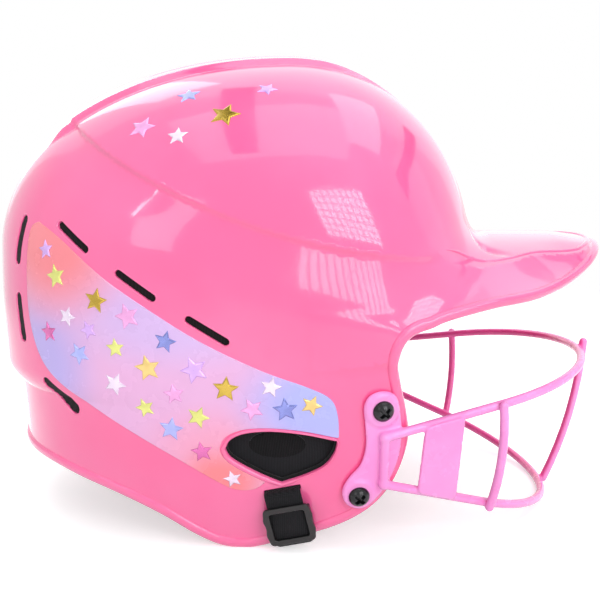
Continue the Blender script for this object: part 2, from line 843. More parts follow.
@dataclass(frozen=True)
class GlossyShell:
    """Moulded shell plastic: one pink, a clear gloss, faint moulding ripple and handling haze."""

    main: str = "FF72AA"
    deep: str = "FF67A2"

    def make(self) -> bpy.types.Material:
        """Builds the material."""
        g = Graph("shell_gloss", Coat_Weight=0.55, Coat_Roughness=0.03, IOR=1.5, Specular_IOR_Level=0.5)
        tint = g.blend(g.span(g.noise(14, 3), 0.35, 0.65, 0, 1), linear(self.main), linear(self.deep))
        haze = g.span(g.noise(60, 5, 0.65), 0.4, 0.75, 0.10, 0.17)
        ripple = g.bump(g.noise(180, 2), 0.012, 0.004)
        grain = g.bump(g.noise(2600, 2), 0.01, 0.0006, ripple)
        return g.into(Base_Color=tint, Roughness=haze, Normal=grain)


@dataclass(frozen=True)
class DippedWire:
    """Vinyl dip on the guard: lilac pink, soft gloss, and a deeper pink where it faces the wearer."""

    main: str = "FF9DE2"
    deep: str = "FF93DB"
    inner: str = "FF62AE"

    def make(self) -> bpy.types.Material:
        """Builds the material."""
        g = Graph("guard_dip", Coat_Weight=0.45, Coat_Roughness=0.1, IOR=1.48)
        tint = g.blend(g.span(g.noise(45, 3), 0.35, 0.7, 0, 1), linear(self.main), linear(self.deep))
        facing = g.add("ShaderNodeAttribute", attribute_name="inward").outputs["Fac"]
        tint = g.blend(facing, tint, linear(self.inner))
        haze = g.span(g.noise(120, 4), 0.3, 0.7, 0.2, 0.3)
        skin = g.bump(g.noise(420, 3), 0.04, 0.0005)
        fine = g.bump(g.noise(3000, 2), 0.03, 0.0001, skin)
        return g.into(Base_Color=tint, Roughness=haze, Normal=fine)


@dataclass(frozen=True)
class Wash:
    """Soft patch of colour on the film: its middle and reach in side view, in millimetres, and its colour."""

    x: float
    z: float
    reach: tuple[float, float]
    code: str


@dataclass(frozen=True)
class PrintedFilm:
    """Satin film whose print runs from coral to lavender in soft washes."""

    ground: str = "EDB4E2"
    washes: tuple[Wash, ...] = (
        Wash(-52, 104, (62, 26), "DDBBF0"), Wash(-114, 80, (34, 40), "BFAEF0"),
        Wash(-30, 44, (48, 30), "F8A6C8"), Wash(-106, 136, (44, 42), "FF8C96"),
        Wash(10, 68, (44, 34), "B6BAFB"), Wash(-32, 33, (24, 20), "FF8890"),
    )

    def make(self) -> bpy.types.Material:
        """Builds the material: each wash covers the last by a smooth step of its elliptic distance."""
        g = Graph("panel_print", Coat_Weight=0.45, Coat_Roughness=0.1)
        x, _, z = g.axes()
        tint = linear(self.ground)
        for wash in self.washes:
            parts = []
            for value, middle, reach in ((x, wash.x, wash.reach[0]), (z, wash.z, wash.reach[1])):
                far = g.sum("DIVIDE", g.sum("SUBTRACT", value, middle * MM), reach * MM)
                parts.append(g.sum("MULTIPLY", far, far))
            share = g.span(g.sum("SQRT", g.sum("ADD", *parts)), 0.25, 1.0, 1, 0)
            tint = g.blend(share, tint, linear(wash.code))
        return g.into(Base_Color=tint, Roughness=g.span(g.noise(90, 4), 0.3, 0.7, 0.22, 0.3),
                      Normal=g.bump(g.noise(1800, 3), 0.03, 0.0002))


class Foil(Enum):
    """Foils of the stars: colour and how far it is metal."""

    GOLD = ("E2C272", 0.35)
    LIME = ("DADD78", 0.25)
    MAUVE = ("E9A2DA", 0.3)
    SILVER = ("E2D2E6", 0.4)
    PERIWINKLE = ("A3ABEA", 0.3)
    LILAC = ("D3A8EC", 0.35)
    OLIVE = ("B89A34", 0.9)
    PLUM = ("C2609C", 0.9)
    SLATE = ("7880C0", 0.9)

    def make(self) -> bpy.types.Material:
        """Builds the foil, with fine brushing and small colour drift."""
        code, metal = self.value
        g = Graph(f"foil_{self.name.lower()}", Metallic=metal, Coat_Weight=0.5, Coat_Roughness=0.06)
        light = tuple(min(1.0, 1.12 * v + 0.02) for v in linear(code)[:3]) + (1.0,)
        tint = g.blend(g.span(g.noise(160, 2), 0.35, 0.65, 0, 1), linear(code), light)
        fine = g.noise(900, 2, vector=g.mapped((0, 25, 0), (0.15, 1, 2.4)))
        return g.into(Base_Color=tint, Roughness=g.span(fine, 0.3, 0.7, 0.16, 0.26),
                      Normal=g.bump(fine, 0.03, 0.0002))


@dataclass(frozen=True)
class Fabric:
    """Cloth of two sets of threads that cross, in some turn."""

    name: str
    light: str
    dark: str
    pitch: float
    turn: tuple[float, float, float] = (0, 0, 0)
    depth: float = 0.0004
    sheen: float = 0.25

    def make(self) -> bpy.types.Material:
        """Builds the material: threads sin(ax)*sin(by), with lint on them."""
        g = Graph(self.name, Sheen_Weight=self.sheen, Sheen_Roughness=0.4, Specular_IOR_Level=0.25)
        x, y, z = g.axes(g.mapped(self.turn))
        wave = 2 * np.pi / self.pitch
        across = g.sum("SINE", g.sum("MULTIPLY", g.sum("ADD", x, z), wave))
        along = g.sum("SINE", g.sum("MULTIPLY", g.sum("SUBTRACT", y, z), wave))
        weave = g.sum("ADD", g.sum("MULTIPLY", g.sum("MULTIPLY", across, along), 0.5), 0.5)
        lint = g.noise(2400, 4, 0.7)
        height = g.sum("ADD", weave, g.sum("MULTIPLY", lint, 0.5))
        tint = g.blend(g.span(height, 0.35, 1.25, 0, 1), linear(self.dark), linear(self.light))
        worn = g.blend(g.span(g.noise(35, 3), 0.5, 0.8, 0, 0.35), tint, linear(self.light))
        return g.into(Base_Color=worn, Roughness=g.span(lint, 0.3, 0.7, 0.78, 0.95),
                      Normal=g.bump(height, 0.6, self.depth))


@dataclass(frozen=True)
class Moulded:
    """Moulded plastic or plated steel with a fine skin."""

    name: str
    light: str
    dark: str
    metallic: float = 0.0
    rough: tuple[float, float] = (0.35, 0.5)
    grain: float = 1400.0
    relief: float = 0.12

    def make(self) -> bpy.types.Material:
        """Builds the material."""
        g = Graph(self.name, Metallic=self.metallic, Coat_Weight=0.08, Coat_Roughness=0.2)
        tint = g.blend(g.span(g.noise(220, 4), 0.35, 0.7, 0, 1), linear(self.dark), linear(self.light))
        skin = g.noise(self.grain, 3, 0.6)
        return g.into(Base_Color=tint, Roughness=g.span(skin, 0.3, 0.7, *self.rough),
                      Normal=g.bump(skin, self.relief, 0.0003))


# Sub-assemblies


@dataclass
class Shell:
    """Moulded shell: outer and inner skins, rim bead, and lips round its openings."""

    outer_step: float = 1.6
    inner_step: float = 2.7
    hidden: float = 0.4
    box: tuple = ((-151, -101, -4), (153, 101, 224))
    rear_half: tuple[float, float] = (131.0, 88.0)
    rear_height: float = 34.0
    rim_profile: tuple = ((4.7, -0.5), (4.45, 0.1), (4.2, 0.65), (3.7, 1.1), (2.9, 1.35), (1.9, 1.35),
                          (0.9, 1.05), (0.1, 0.5), (-0.6, -0.35), (-0.9, -1.3), (-0.8, -2.2), (-0.3, -3.0),
                          (0.6, -3.5), (2.0, -3.7), (3.4, -3.6), (4.2, -3.2), (4.4, -2.4), (4.8, -1.5))
    lip_profile: tuple = ((3.1, -0.5), (2.9, 0.15), (2.4, 0.65), (1.6, 0.95), (0.7, 0.9), (0.0, 0.5),
                          (-0.35, -0.2), (-0.4, -1.2), (-0.4, -2.2), (-0.1, -3.0), (0.6, -3.5), (1.8, -3.5),
                          (2.3, -3.0), (2.2, -2.0))
    slot_profile: tuple = ((1.1, -0.4), (0.9, 0.02), (0.5, 0.12), (0.15, -0.02), (0.0, -0.35), (0.0, -1.5),
                           (0.0, -2.7), (0.2, -3.1), (0.9, -3.1), (1.1, -2.7), (0.8, -1.5))
    slot_half: tuple[float, float] = (8.0, 0.9)
    slot_height: float = 12.85
    welt_turn: float = 84.0
    welt_profile: tuple = ((-1.3, -0.4), (-1.1, 0.05), (-0.7, 0.42), (0.0, 0.6), (0.6, 0.42), (1.0, 0.05),
                           (1.2, -0.4))

    def __post_init__(self) -> None:
        """Places the frames of the slots once."""
        self.vent_frames = [Frame.on_side(x, z, turn) for x, z, turn in OUTLINES.vents]
        self.strap_frame = Frame.on_side(*STRAP_PLACE)
        self.ear_outline = OUTLINES.ear()

    def capsule(self, p: Array, frame: Frame, half: float, radius: float) -> Array:
        """Distance from a slot with round ends: hypot(max(|X| - half, 0), Y) - radius in its frame.

        Args:
            p: Points.
            frame: The slot's frame.
            half: Half the length between its round ends.
            radius: Radius of its ends.

        Returns:
            Distances, negative in the slot.
        """
        q = frame.local(left_half(p))
        flat = np.hypot(np.maximum(np.abs(q[..., 0]) - half, 0), q[..., 1]) - radius
        return np.where(np.abs(q[..., 2]) < 14, flat, 40.0)

    def vent(self, index: int) -> Field:
        """Distance from one vent slot."""
        half = (OUTLINES.vent_length - OUTLINES.vent_width) / 2
        radius = OUTLINES.vent_radius(OUTLINES.vents[index][0])
        return lambda p: self.capsule(p, self.vent_frames[index], half, radius)

    def strap_slot(self, p: Array) -> Array:
        """Distance from the slot that the webbing passes through: a rounded box in the strap's frame."""
        q = self.strap_frame.local(left_half(p))
        w, h = self.slot_half
        d = np.maximum(np.abs(q[..., 0]) - w, np.abs(q[..., 1] - self.slot_height) - h)
        return np.where(np.abs(q[..., 2]) < 10, d, 40.0)

    def ear(self, p: Array) -> Array:
        """Distance from the ear hole in side view."""
        return np.where(np.abs(p[..., 1]) > 20, outline_distance(p[..., [0, 2]], self.ear_outline), 60.0)

    def keep(self, p: Array) -> Array:
        """Positive where the wall stays."""
        parts = [OUTLINES.below_rim(p), self.ear(p), self.strap_slot(p)]
        parts += [self.vent(k)(p) for k in range(len(self.vent_frames))]
        return np.minimum.reduce(parts) - self.hidden

    def rim_border(self) -> Array:
        """Closed border of the shell's lower edge on its outer surface."""
        turn = np.radians(np.linspace(180, 126, 40))
        w, h = self.rear_half
        rear = np.stack([SHELL.middle_x + w * power(np.cos(turn), 0.82), h * power(np.sin(turn), 0.82),
                         np.full(40, self.rear_height)], 1)
        side = OUTLINES.rim()
        side = side[(side[:, 0] > rear[-1, 0] + 2) & (side[:, 0] < 58.5)]
        side = np.stack([side[:, 0], SHELL.side_y(side[:, 0], side[:, 1]), side[:, 1]], 1)
        a = np.radians(np.linspace(82, 0, 60))
        x = SHELL.visor_x + SHELL.visor_reach * np.cos(a)
        front = np.stack([x, SHELL.visor_half_width * np.sin(a), SHELL.edge_height(x)], 1)
        half = on_both(np.vstack([rear, side, front]), OUTLINES.below_rim, SHELL, 0.0, 6)
        half[0, 1] = half[-1, 1] = 0.0
        half = evenly(half, 1.9)
        loop = np.vstack([half, (half * [1, -1, 1])[-2:0:-1]])
        return on_both(loop, OUTLINES.below_rim, SHELL, 0.0, 2)

    def ring(self, distance: Field, frame: Frame, reach: tuple[float, float], spacing: float) -> Array:
        """Border of a slot on the outer surface, found from an ellipse round it in its frame.

        Args:
            distance: Distance from the slot.
            frame: The slot's frame.
            reach: Half sizes of the ellipse.
            spacing: Step along the border.

        Returns:
            The border's points.
        """
        t = np.linspace(0, 2 * np.pi, 120, endpoint=False)
        lift = self.slot_height if frame is self.strap_frame else 0.0
        q = np.stack([reach[0] * np.cos(t), lift + reach[1] * np.sin(t), 0 * t], 1)
        p = on_both(frame.world(q), distance, SHELL, 0.0, 8)
        return on_both(evenly(p, spacing, True), distance, SHELL, 0.0, 2)

    def brow(self) -> Net:
        """Wall of the dome behind the visor: |dome + wall/2| - wall/2, cut by the rim and the underside."""
        half = SHELL.wall / 2

        def form(p: Array) -> Array:
            """The wall within its bounds."""
            sheet = np.abs(SHELL.dome(p) + half) - half
            bounds = np.maximum.reduce([-OUTLINES.below_rim(p) + 0.5, SHELL(p) + half, 50 - p[..., 0]])
            return round_max(sheet, bounds, 0.8)
        return surface_net(form, (44, -92, 92), (92, 92, 140), 1.6)

    def build(self) -> list[bpy.types.Object]:
        """Builds the shell's pieces."""
        gloss = GlossyShell().make()
        low, high = self.box
        outer = trimmed(surface_net(SHELL, low, high, self.outer_step), self.keep, SHELL)
        inner = surface_net(SHELL, low, high, self.inner_step, -SHELL.wall)
        inner = trimmed(inner, self.keep, SHELL, -SHELL.wall)
        inner = Net(inner.points, inner.faces[:, ::-1], -inner.normals)
        skin = outer.joined(inner)
        pieces = [piece("shell_skin", skin, gloss, "helmet", ("shell",))]
        border = self.rim_border()
        on_visor = smooth((border[:, 0] - 52) / 16)
        rim = bead(border, OUTLINES.below_rim, np.array(self.rim_profile), True, 1 - 0.1 * on_visor)
        profile = np.array(self.slot_profile)
        lips = [bead(self.ring(self.vent(k), place, (13, 4), 0.9), self.vent(k), profile, True)
                for k, place in enumerate(self.vent_frames)]
        strap = self.ring(self.strap_slot, self.strap_frame, (12, 4), 0.9)
        lips += [bead(strap, self.strap_slot, profile, True), self.ear_lip()]
        trim = rim.joined(self.visor_welt())
        for lip in lips:
            trim = trim.joined(lip).joined(lip.mirrored())
        pieces.append(piece("shell_rim_and_lips", trim, gloss, "helmet", ("shell",)))
        pieces.append(piece("shell_brow_wall", self.brow(), gloss, "helmet", ("shell",)))
        return pieces

    def visor_welt(self) -> Net:
        """Fine raised line along the visor's ridge, where its plateau turns down into the flank."""
        a = np.radians(np.linspace(-self.welt_turn, self.welt_turn, 220))
        e = SHELL.ridge(SHELL.visor_x + SHELL.visor_reach * np.cos(a), SHELL.visor_half_width * np.sin(a))
        x, y = SHELL.visor_x + SHELL.visor_reach * e * np.cos(a), SHELL.visor_half_width * e * np.sin(a)
        path = settle(SHELL, np.stack([x, y, np.full_like(x, SHELL.visor_top)], 1), 8)
        share = lambda p: 90 * np.hypot((p[..., 0] - SHELL.visor_x) / SHELL.visor_reach,
                                        p[..., 1] / SHELL.visor_half_width)
        to_end = 1 - np.abs(np.linspace(-1, 1, len(path)))
        return bead(path, share, np.array(self.welt_profile), False, None, 0.9 * (1 - smooth(to_end / 0.16)))

    def ear_lip(self) -> Net:
        """Rolled lip round the ear hole: wide at the rear and below, thin at the top and the front corner."""
        q = evenly(self.ear_outline, 1.2, True)
        border = np.stack([q[:, 0], SHELL.side_y(q[:, 0], q[:, 1]), q[:, 1]], 1)
        border = on_both(border, self.ear, SHELL, 0.0, 2)
        rearward = smooth((6 - border[:, 0]) / 26)
        low = smooth((52 - border[:, 2]) / 8)
        front_low = smooth((border[:, 0] + 4) / 8) * low
        widths = 0.42 + 0.36 * rearward * (0.35 + 0.65 * low) - 0.16 * front_low
        return bead(border, self.ear, np.array(self.lip_profile), True, widths)


@dataclass
class PanelFilm:
    """Printed film on each side, with its foil stars."""

    thickness: float = 0.4
    step: float = 1.1
    edge_profile: tuple = ((0.9, 0.1), (0.7, 0.38), (0.35, 0.4), (0.05, 0.3), (-0.08, 0.05), (0.0, -0.3),
                           (0.8, -0.3))

    def inside(self, p: Array) -> Array:
        """Distance into the panel in side view."""
        return -outline_distance(p[..., [0, 2]], self.outline)

    def build(self) -> list[bpy.types.Object]:
        """Builds both films."""
        self.outline = OUTLINES.panel()
        print_finish = PrintedFilm().make()
        low = np.array([self.outline[:, 0].min() - 3, 44, self.outline[:, 1].min() - 3])
        high = np.array([self.outline[:, 0].max() + 3, 100, self.outline[:, 1].max() + 3])
        sheet = surface_net(SHELL, low, high, self.step, self.thickness)
        keep = lambda p: np.minimum(self.inside(p) - 0.5, p[..., 1] - 46)
        sheet = trimmed(sheet, keep, SHELL, self.thickness)
        q = evenly(self.outline, 1.3, True)
        border = np.stack([q[:, 0], SHELL.side_y(q[:, 0], q[:, 1]), q[:, 1]], 1)
        edge = bead(border, self.inside, np.array(self.edge_profile), True)
        film = sheet.joined(edge.triangles())
        return [piece(f"panel_film_skin_{side}", film if side == "left" else film.mirrored(), print_finish,
                      "helmet", (f"panel_film_{side}",)) for side in ("right", "left")]


@dataclass(frozen=True)
class Star:
    """One foil star: its place, reach from middle to tip, turn in degrees and foil."""

    x: float
    z: float
    reach: float
    turn: float
    foil: Foil
    y: float | None = None


@dataclass
class StarFoils:
    """Raised foil stars on the panels and the dome."""

    stars: tuple[Star, ...] = ()
    inner_share: float = 0.47
    rise: float = 0.5

    def star(self, item: Star, base: float) -> Net:
        """One star that follows the shell: at turn a its edge lies between tip and notch on straight sides.

        Its face is flat at base + rise, a bevel falls to the edge, and a skirt ends below the surface.

        Args:
            item: The star.
            base: Height of its foot over the shell.

        Returns:
            The star's triangles.
        """
        arms = 10
        per = 6
        a = np.arange(arms * per) / (arms * per) * 2 * np.pi
        corner = np.where(np.arange(arms) % 2 == 0, 1.0, self.inner_share)
        angle = np.arange(arms) / arms * 2 * np.pi
        tips = np.stack([corner * np.sin(angle), corner * np.cos(angle)], 1)
        share = (np.arange(per) / per)[None, :, None]
        edge = (tips[:, None] * (1 - share) + np.roll(tips, -1, 0)[:, None] * share).reshape(-1, 2)
        rings = np.array([0.02, 0.25, 0.5, 0.72, 0.78, 0.9, 1.0, 1.01, 1.0])
        heights = np.array([1, 1, 1, 1, 0.97, 0.62, 0.3, -0.3, -0.9]) * self.rise
        flat = edge[None] * rings[:, None, None] * item.reach
        up = np.broadcast_to(heights[:, None], (len(rings), len(a)))
        c, s = np.cos(np.radians(item.turn)), np.sin(np.radians(item.turn))
        flat = np.stack([flat[..., 0] * c - flat[..., 1] * s, flat[..., 0] * s + flat[..., 1] * c], -1)
        if item.y is None:
            p0 = np.array([[item.x, SHELL.side_y(np.array([item.x]), np.array([item.z]))[0], item.z]])
        else:
            p0 = settle(SHELL, np.array([[item.x, item.y, item.z]]), 12)
        out = unit(gradient(SHELL, p0, 1.5))
        fore = unit(np.cross(out, [[0.0, 0.0, 1.0]]))
        top = np.cross(fore, out)
        points = (p0 + flat[..., :1] * fore + flat[..., 1:] * top).reshape(-1, 3)
        level = (base + up).reshape(-1)
        for _ in range(4):
            g = gradient(SHELL, points)
            points = points - ((SHELL(points) - level) / np.maximum((g * g).sum(-1), 0.3))[:, None] * g
        rows, cols = up.shape
        middle = settle(SHELL, p0, 3, base + self.rise)
        quads = grid_faces(rows, cols, False, True)
        i = np.arange(cols)
        fan = np.stack([np.full(cols, rows * cols), i, (i + 1) % cols], 1)
        q = np.vstack([quads[:, [0, 1, 2]], quads[:, [0, 2, 3]], fan])
        net = Net(np.vstack([points, middle]), q)
        a, b, c = (net.points[net.faces[:cols, k]] for k in range(3))
        if (np.cross(b - a, c - a) @ out[0]).sum() < 0:
            net = Net(net.points, net.faces[:, ::-1])
        return vertex_normals(net)

    def build(self, inside: Field) -> list[bpy.types.Object]:
        """Builds one piece for each foil, with its stars on both sides.

        Args:
            inside: Distance into the panel, which lifts the stars on it by the film.
        """
        made = []
        for foil in Foil:
            nets = []
            for item in (s for s in self.stars if s.foil is foil):
                on_panel = item.y is None and inside(np.array([[item.x, 0.0, item.z]]))[0] > -2
                net = self.star(item, 0.42 if on_panel else 0.06)
                nets += [net, net.mirrored()]
            joined = nets[0]
            for net in nets[1:]:
                joined = joined.joined(net)
            made.append(piece(f"foil_stars_{foil.name.lower()}", joined, foil.make(), "helmet"))
        return made


@dataclass(frozen=True)
class WirePlane:
    """One bent wire in a plane tilted about Y: straight sides that toe in, and a round bend in front."""

    tilt: float
    centre: float
    bend: float
    rear: tuple[float, float]
    toe_in: float
    level: float

    @classmethod
    def welded(cls, level: float, tilt: float, reach: float, bend: float) -> "WirePlane":
        """Wire that reaches so far forward, with its rear ends on the mounting plates.

        Args:
            level: Height of its plane at X = 0.
            tilt: Rise of the plane to the front, in degrees.
            reach: X of its foremost point.
            bend: Radius of the front bend.

        Returns:
            The wire, whose sides run from the post to their tangent points on the bend.
        """
        centre = reach / np.cos(np.radians(tilt)) - bend
        x, z = np.array([POST_X]), np.array([level + POST_X * np.tan(np.radians(tilt))])
        seat = np.stack([x, SHELL.side_y(x, z), z], -1)
        y = seat[0, 1] + WELD_SEAT / unit(gradient(SHELL, seat))[0, 1]
        rear = (POST_X / np.cos(np.radians(tilt)), y)
        toe = np.arctan2(y, centre - rear[0]) - np.arcsin(bend / np.hypot(centre - rear[0], y))
        return cls(tilt, centre, bend, rear, float(np.degrees(toe)), level)

    def flat(self, p: Array) -> tuple[Array, Array]:
        """Points in the wire's plane, left half, and their height over it."""
        c, s = np.cos(np.radians(self.tilt)), np.sin(np.radians(self.tilt))
        x, z = p[..., 0], p[..., 2] - self.level
        return np.stack([x * c + z * s, np.abs(p[..., 1])], -1), z * c - x * s

    def distance(self, p: Array) -> Array:
        """Distance from the wire's middle line: the arc |r - R| ahead of the tangent point, else the side.

        Args:
            p: Points.

        Returns:
            Distances.
        """
        q, height = self.flat(p)
        t = np.radians(self.toe_in)
        out = np.array([np.sin(t), np.cos(t)])
        touch = np.array([self.centre, 0.0]) + self.bend * out
        run = np.array([-np.cos(t), np.sin(t)])
        length = (np.array(self.rear) - touch) @ run
        w = q - touch
        along = np.clip(w @ run, 0, length)
        straight = np.linalg.norm(w - along[..., None] * run, axis=-1)
        arm = q - np.array([self.centre, 0.0])
        arc = np.abs(np.linalg.norm(arm, axis=-1) - self.bend)
        ahead = (arm @ np.array([out[1], -out[0]])) > 0
        return np.hypot(np.where(ahead, arc, straight), height)

    def at(self, x: float, off: float = 0.0) -> Array:
        """Point on the wire's left side at this X, moved outwards by off.

        Args:
            x: Place along X.
            off: Way outwards.

        Returns:
            The point.
        """
        c, s = np.cos(np.radians(self.tilt)), np.sin(np.radians(self.tilt))
        t = np.radians(self.toe_in)
        u = x / c
        if u > self.centre + self.bend * np.sin(t):
            spot = np.array([u, np.sqrt(max(self.bend**2 - (u - self.centre) ** 2, 0.0))])
            out = (spot - [self.centre, 0]) / self.bend
        else:
            spot = np.array([u, (self.bend - (u - self.centre) * np.sin(t)) / np.cos(t)])
            out = np.array([np.sin(t), np.cos(t)])
        spot = spot + off * out
        return np.array([spot[0] * c, spot[1], self.level + spot[0] * s])


# The guard's posts stand here, with their wires so far over the shell: gap, plate and radius, less the weld.
POST_X = 38.0
WELD_SEAT = 0.3 + 2.6 + 2.0 - 0.3
UPPER_REACH, LOWER_REACH = 143.0, 126.0
LOWER_TILT = -float(np.degrees(np.arctan((46.0 - 2.0) / LOWER_REACH)))
UPPER = WirePlane.welded(48.0, 10.0, UPPER_REACH, 78.0)
LOWER = WirePlane.welded(46.0, LOWER_TILT, LOWER_REACH, 75.0)


def bar_distance(p: Array, a: Array, b: Array, bow: float, side: Array) -> Array:
    """Distance from a bowed bar's middle line: a chain of short chords of a parabola 4*bow*t*(1 - t).

    Args:
        p: Points.
        a: The bar's foot.
        b: The bar's top.
        bow: How far its middle stands out.
        side: Direction in which it bows.

    Returns:
        Distances.
    """
    y = unit(b - a)
    side = unit(side - (side @ y) * y)
    t = np.linspace(0, 1, 9)[:, None]
    chain = a + (b - a) * t + 4 * bow * t * (1 - t) * side
    best = np.full(p.shape[:-1], np.inf)
    for p0, p1 in zip(chain[:-1], chain[1:]):
        e = p1 - p0
        w = p - p0
        k = np.clip((w @ e) / (e @ e), 0, 1)
        best = np.minimum(best, np.linalg.norm(w - k[..., None] * e, axis=-1))
    return best


@dataclass
class FaceGuard:
    """Wire guard dipped in vinyl: two wires, three bars, a cheek plate and mounting plates, all welded."""

    wire: float = 2.0
    weld: float = 1.3
    step: float = 0.85
    plate: float = 2.6
    gap: float = 0.3
    cheek: float = 1.0
    side_bow: float = 2.5
    centre_bow: float = 3.5
    bar_off: float = 3.7
    stub: float = 2.2
    side_stub: float = 0.6
    side_x: tuple[float, float] = (89.5, 86.0)
    cheek_off: float = 2.5
    head_seat: float = 3.9
    head_height: float = 3.2
    head_radius: float = 4.75
    cross_reach: float = 2.6
    cross_depth: float = 0.9
    shank_radius: float = 2.4
    shank_end: float = -4.4
    wearer: tuple[float, float, float] = (50.0, 0.0, 48.0)
    plate_outline: tuple = ((43.4, 70.6), (40.6, 73.9), (35.8, 74.8), (31.2, 73), (28.9, 68.2), (29.6, 59.7),
                            (30, 50.2), (27.8, 41.8), (22.6, 35.2), (20.2, 29.6), (21.4, 24.2), (25.4, 21.2),
                            (30.5, 21.4), (36.5, 26.5), (41.5, 35), (44.7, 44.6), (45.6, 54), (45, 62.5))
    screws: tuple = ((36.2, 66.8), (27, 27.8))

    def __post_init__(self) -> None:
        """Works out the bars' ends, the cheek plate's corners and the plate's outline once."""
        off = self.bar_off
        top, foot = UPPER.at(UPPER_REACH - 0.001, off), LOWER.at(LOWER_REACH - 0.001, off)
        top[1] = foot[1] = 0.0
        d = unit(top - foot)
        self.centre = (foot + d, top + self.stub * d)
        top, foot = UPPER.at(self.side_x[0], off), LOWER.at(self.side_x[1], off)
        d = unit(top - foot)
        self.side = (foot - self.side_stub * d, top + self.side_stub * d)
        corners = ((UPPER, 55.0), (UPPER, 72.0), (LOWER, 69.5), (LOWER, 52.5))
        self.corners = np.array([wire.at(x, self.cheek_off) for wire, x in corners])
        self.outline = catmull(self.plate_outline, 6, True)
        self.frames = [Frame.on_side(x, z) for x, z in self.screws]
        self.post = (UPPER.at(POST_X), LOWER.at(POST_X))

    def cheek_form(self, p: Array) -> Array:
        """Flat plate with round edges between the wires: the greatest distance to its sides and faces.

        Args:
            p: Points.

        Returns:
            Distances, negative inside.
        """
        c = self.corners
        o = c.mean(0)
        x = unit(c[1] - c[0] + c[2] - c[3])
        v = c[0] - c[3] + c[1] - c[2]
        y = unit(v - (v @ x) * x)
        n = np.cross(x, y)
        q = np.stack([(p - o) @ x, (p - o) @ y], -1)
        flat = np.stack([(c - o) @ x, (c - o) @ y], -1)
        sides = []
        for a, b in zip(flat, np.roll(flat, -1, 0)):
            e = unit(b - a)
            sides.append((q - a) @ np.array([-e[1], e[0]]))
        inside = round_max(round_max(sides[0], sides[2], 2), round_max(sides[1], sides[3], 2), 3) - 0.4
        return round_max(inside, np.abs((p - o) @ n) - self.cheek, 0.9)

    def mount_form(self, p: Array) -> Array:
        """Plate on the shell: its outline in side view against |surface distance - middle| - half.

        Args:
            p: Points on the left half.

        Returns:
            Distances, negative inside.
        """
        over = SHELL(p)
        rim = outline_distance(p[..., [0, 2]].reshape(-1, 2), self.outline).reshape(p.shape[:-1])
        swell = np.zeros(p.shape[:-1])
        for frame in self.frames:
            q = frame.local(p)
            swell = np.maximum(swell, 0.9 * (1 - smooth((np.hypot(q[..., 0], q[..., 1]) - 6.4) / 2.2)))
        half = self.plate / 2 + swell / 2
        return round_max(rim, np.abs(over - self.gap - half) - half, 1.5)

    def form(self, p: Array) -> Array:
        """Smooth union of all its parts, on the left half.

        Args:
            p: Points on either half.

        Returns:
            Distances, negative inside.
        """
        q = left_half(p)
        d = round_min(UPPER.distance(q) - self.wire, LOWER.distance(q) - self.wire, 0.5)
        aside, ahead = np.array([0.8, 0.6, 0]), np.array([1.0, 0, 0])
        bars = ((self.side, self.side_bow, aside), (self.centre, self.centre_bow, ahead),
                (self.post, 0.01, ahead))
        for ends, bow, way in bars:
            d = round_min(d, bar_distance(q, *ends, bow, way) - self.wire, self.weld)
        near = (q[..., 0] < 80) & (q[..., 0] > 14)
        if near.any():
            some = d[near]
            right = p[..., 1][near] < 0
            some = np.where(right, round_min(some, self.cheek_form(q[near]), 1.1), some)
            d[near] = round_min(some, self.mount_form(q[near]), 1.6)
        return d

    def build(self) -> list[bpy.types.Object]:
        """Builds the guard as one dipped piece, and its screws."""
        net = surface_net(self.form, (14, -108, -4), (154, 108, 84), self.step, block=6)
        both = lambda stem: (f"{stem}_right", f"{stem}_left")
        nodes = ("upper_wire", "lower_wire", "centre_bar", *both("end_post"), *both("side_bar"),
                 "cheek_plate", *both("mount_plate"))
        guard = piece("face_guard", net, DippedWire().make(), "helmet", nodes)
        toward = unit(np.array(self.wearer) - net.points)
        inward = smooth((net.normals * toward).sum(1) / 0.7)
        values = guard.data.attributes.new("inward", "FLOAT", "POINT")
        values.data.foreach_set("value", inward.astype(np.float32))
        return [guard, self.build_screws()]

    def screw_form(self, p: Array) -> Array:
        """Domed head with a cross recess: a ball cut to a disc, less two tapering slots.

        Args:
            p: Points in the screw's own frame.

        Returns:
            Distances, negative inside.
        """
        seat, height, radius = self.head_seat, self.head_height, self.head_radius
        ball = (radius**2 + height**2) / (2 * height)
        x, y, z = p[..., 0], p[..., 1], p[..., 2] - seat
        r = np.hypot(x, y)
        dome = np.sqrt(x * x + y * y + (z - height + ball) ** 2) - ball
        head = round_max(round_max(dome, r - radius, 0.5), -0.35 - z, 0.4)
        u, v = (x + y) * 0.7071, (x - y) * 0.7071
        width = 0.42 + 0.13 * np.clip(z, 0, 4)
        arms = np.minimum(np.maximum(np.abs(u) - width, np.abs(v) - self.cross_reach),
                          np.maximum(np.abs(v) - width, np.abs(u) - self.cross_reach))
        cross = np.maximum(arms, self.cross_depth - z)
        head = round_max(head, -cross, 0.18)
        shank = np.maximum(r - self.shank_radius, np.maximum(z + 0.2, self.shank_end - seat - z))
        return np.minimum(head, shank)

    def build_screws(self) -> bpy.types.Object:
        """Builds the four screws as one piece."""
        one = surface_net(self.screw_form, (-5.6, -5.6, -5.4), (5.6, 5.6, 8.0), 0.2)
        nets = [frame.placed(one) for frame in self.frames]
        nets += [net.mirrored() for net in nets]
        steel = Moulded("screw_black", "26262A", "0C0C0E", 0.35, (0.14, 0.24), 900, 0.04).make()
        return piece("guard_screws_domed", gathered(nets), steel, "helmet", ("guard_screws",))


STRAP_PLACE = (-3.0, 17.0, -12.0)


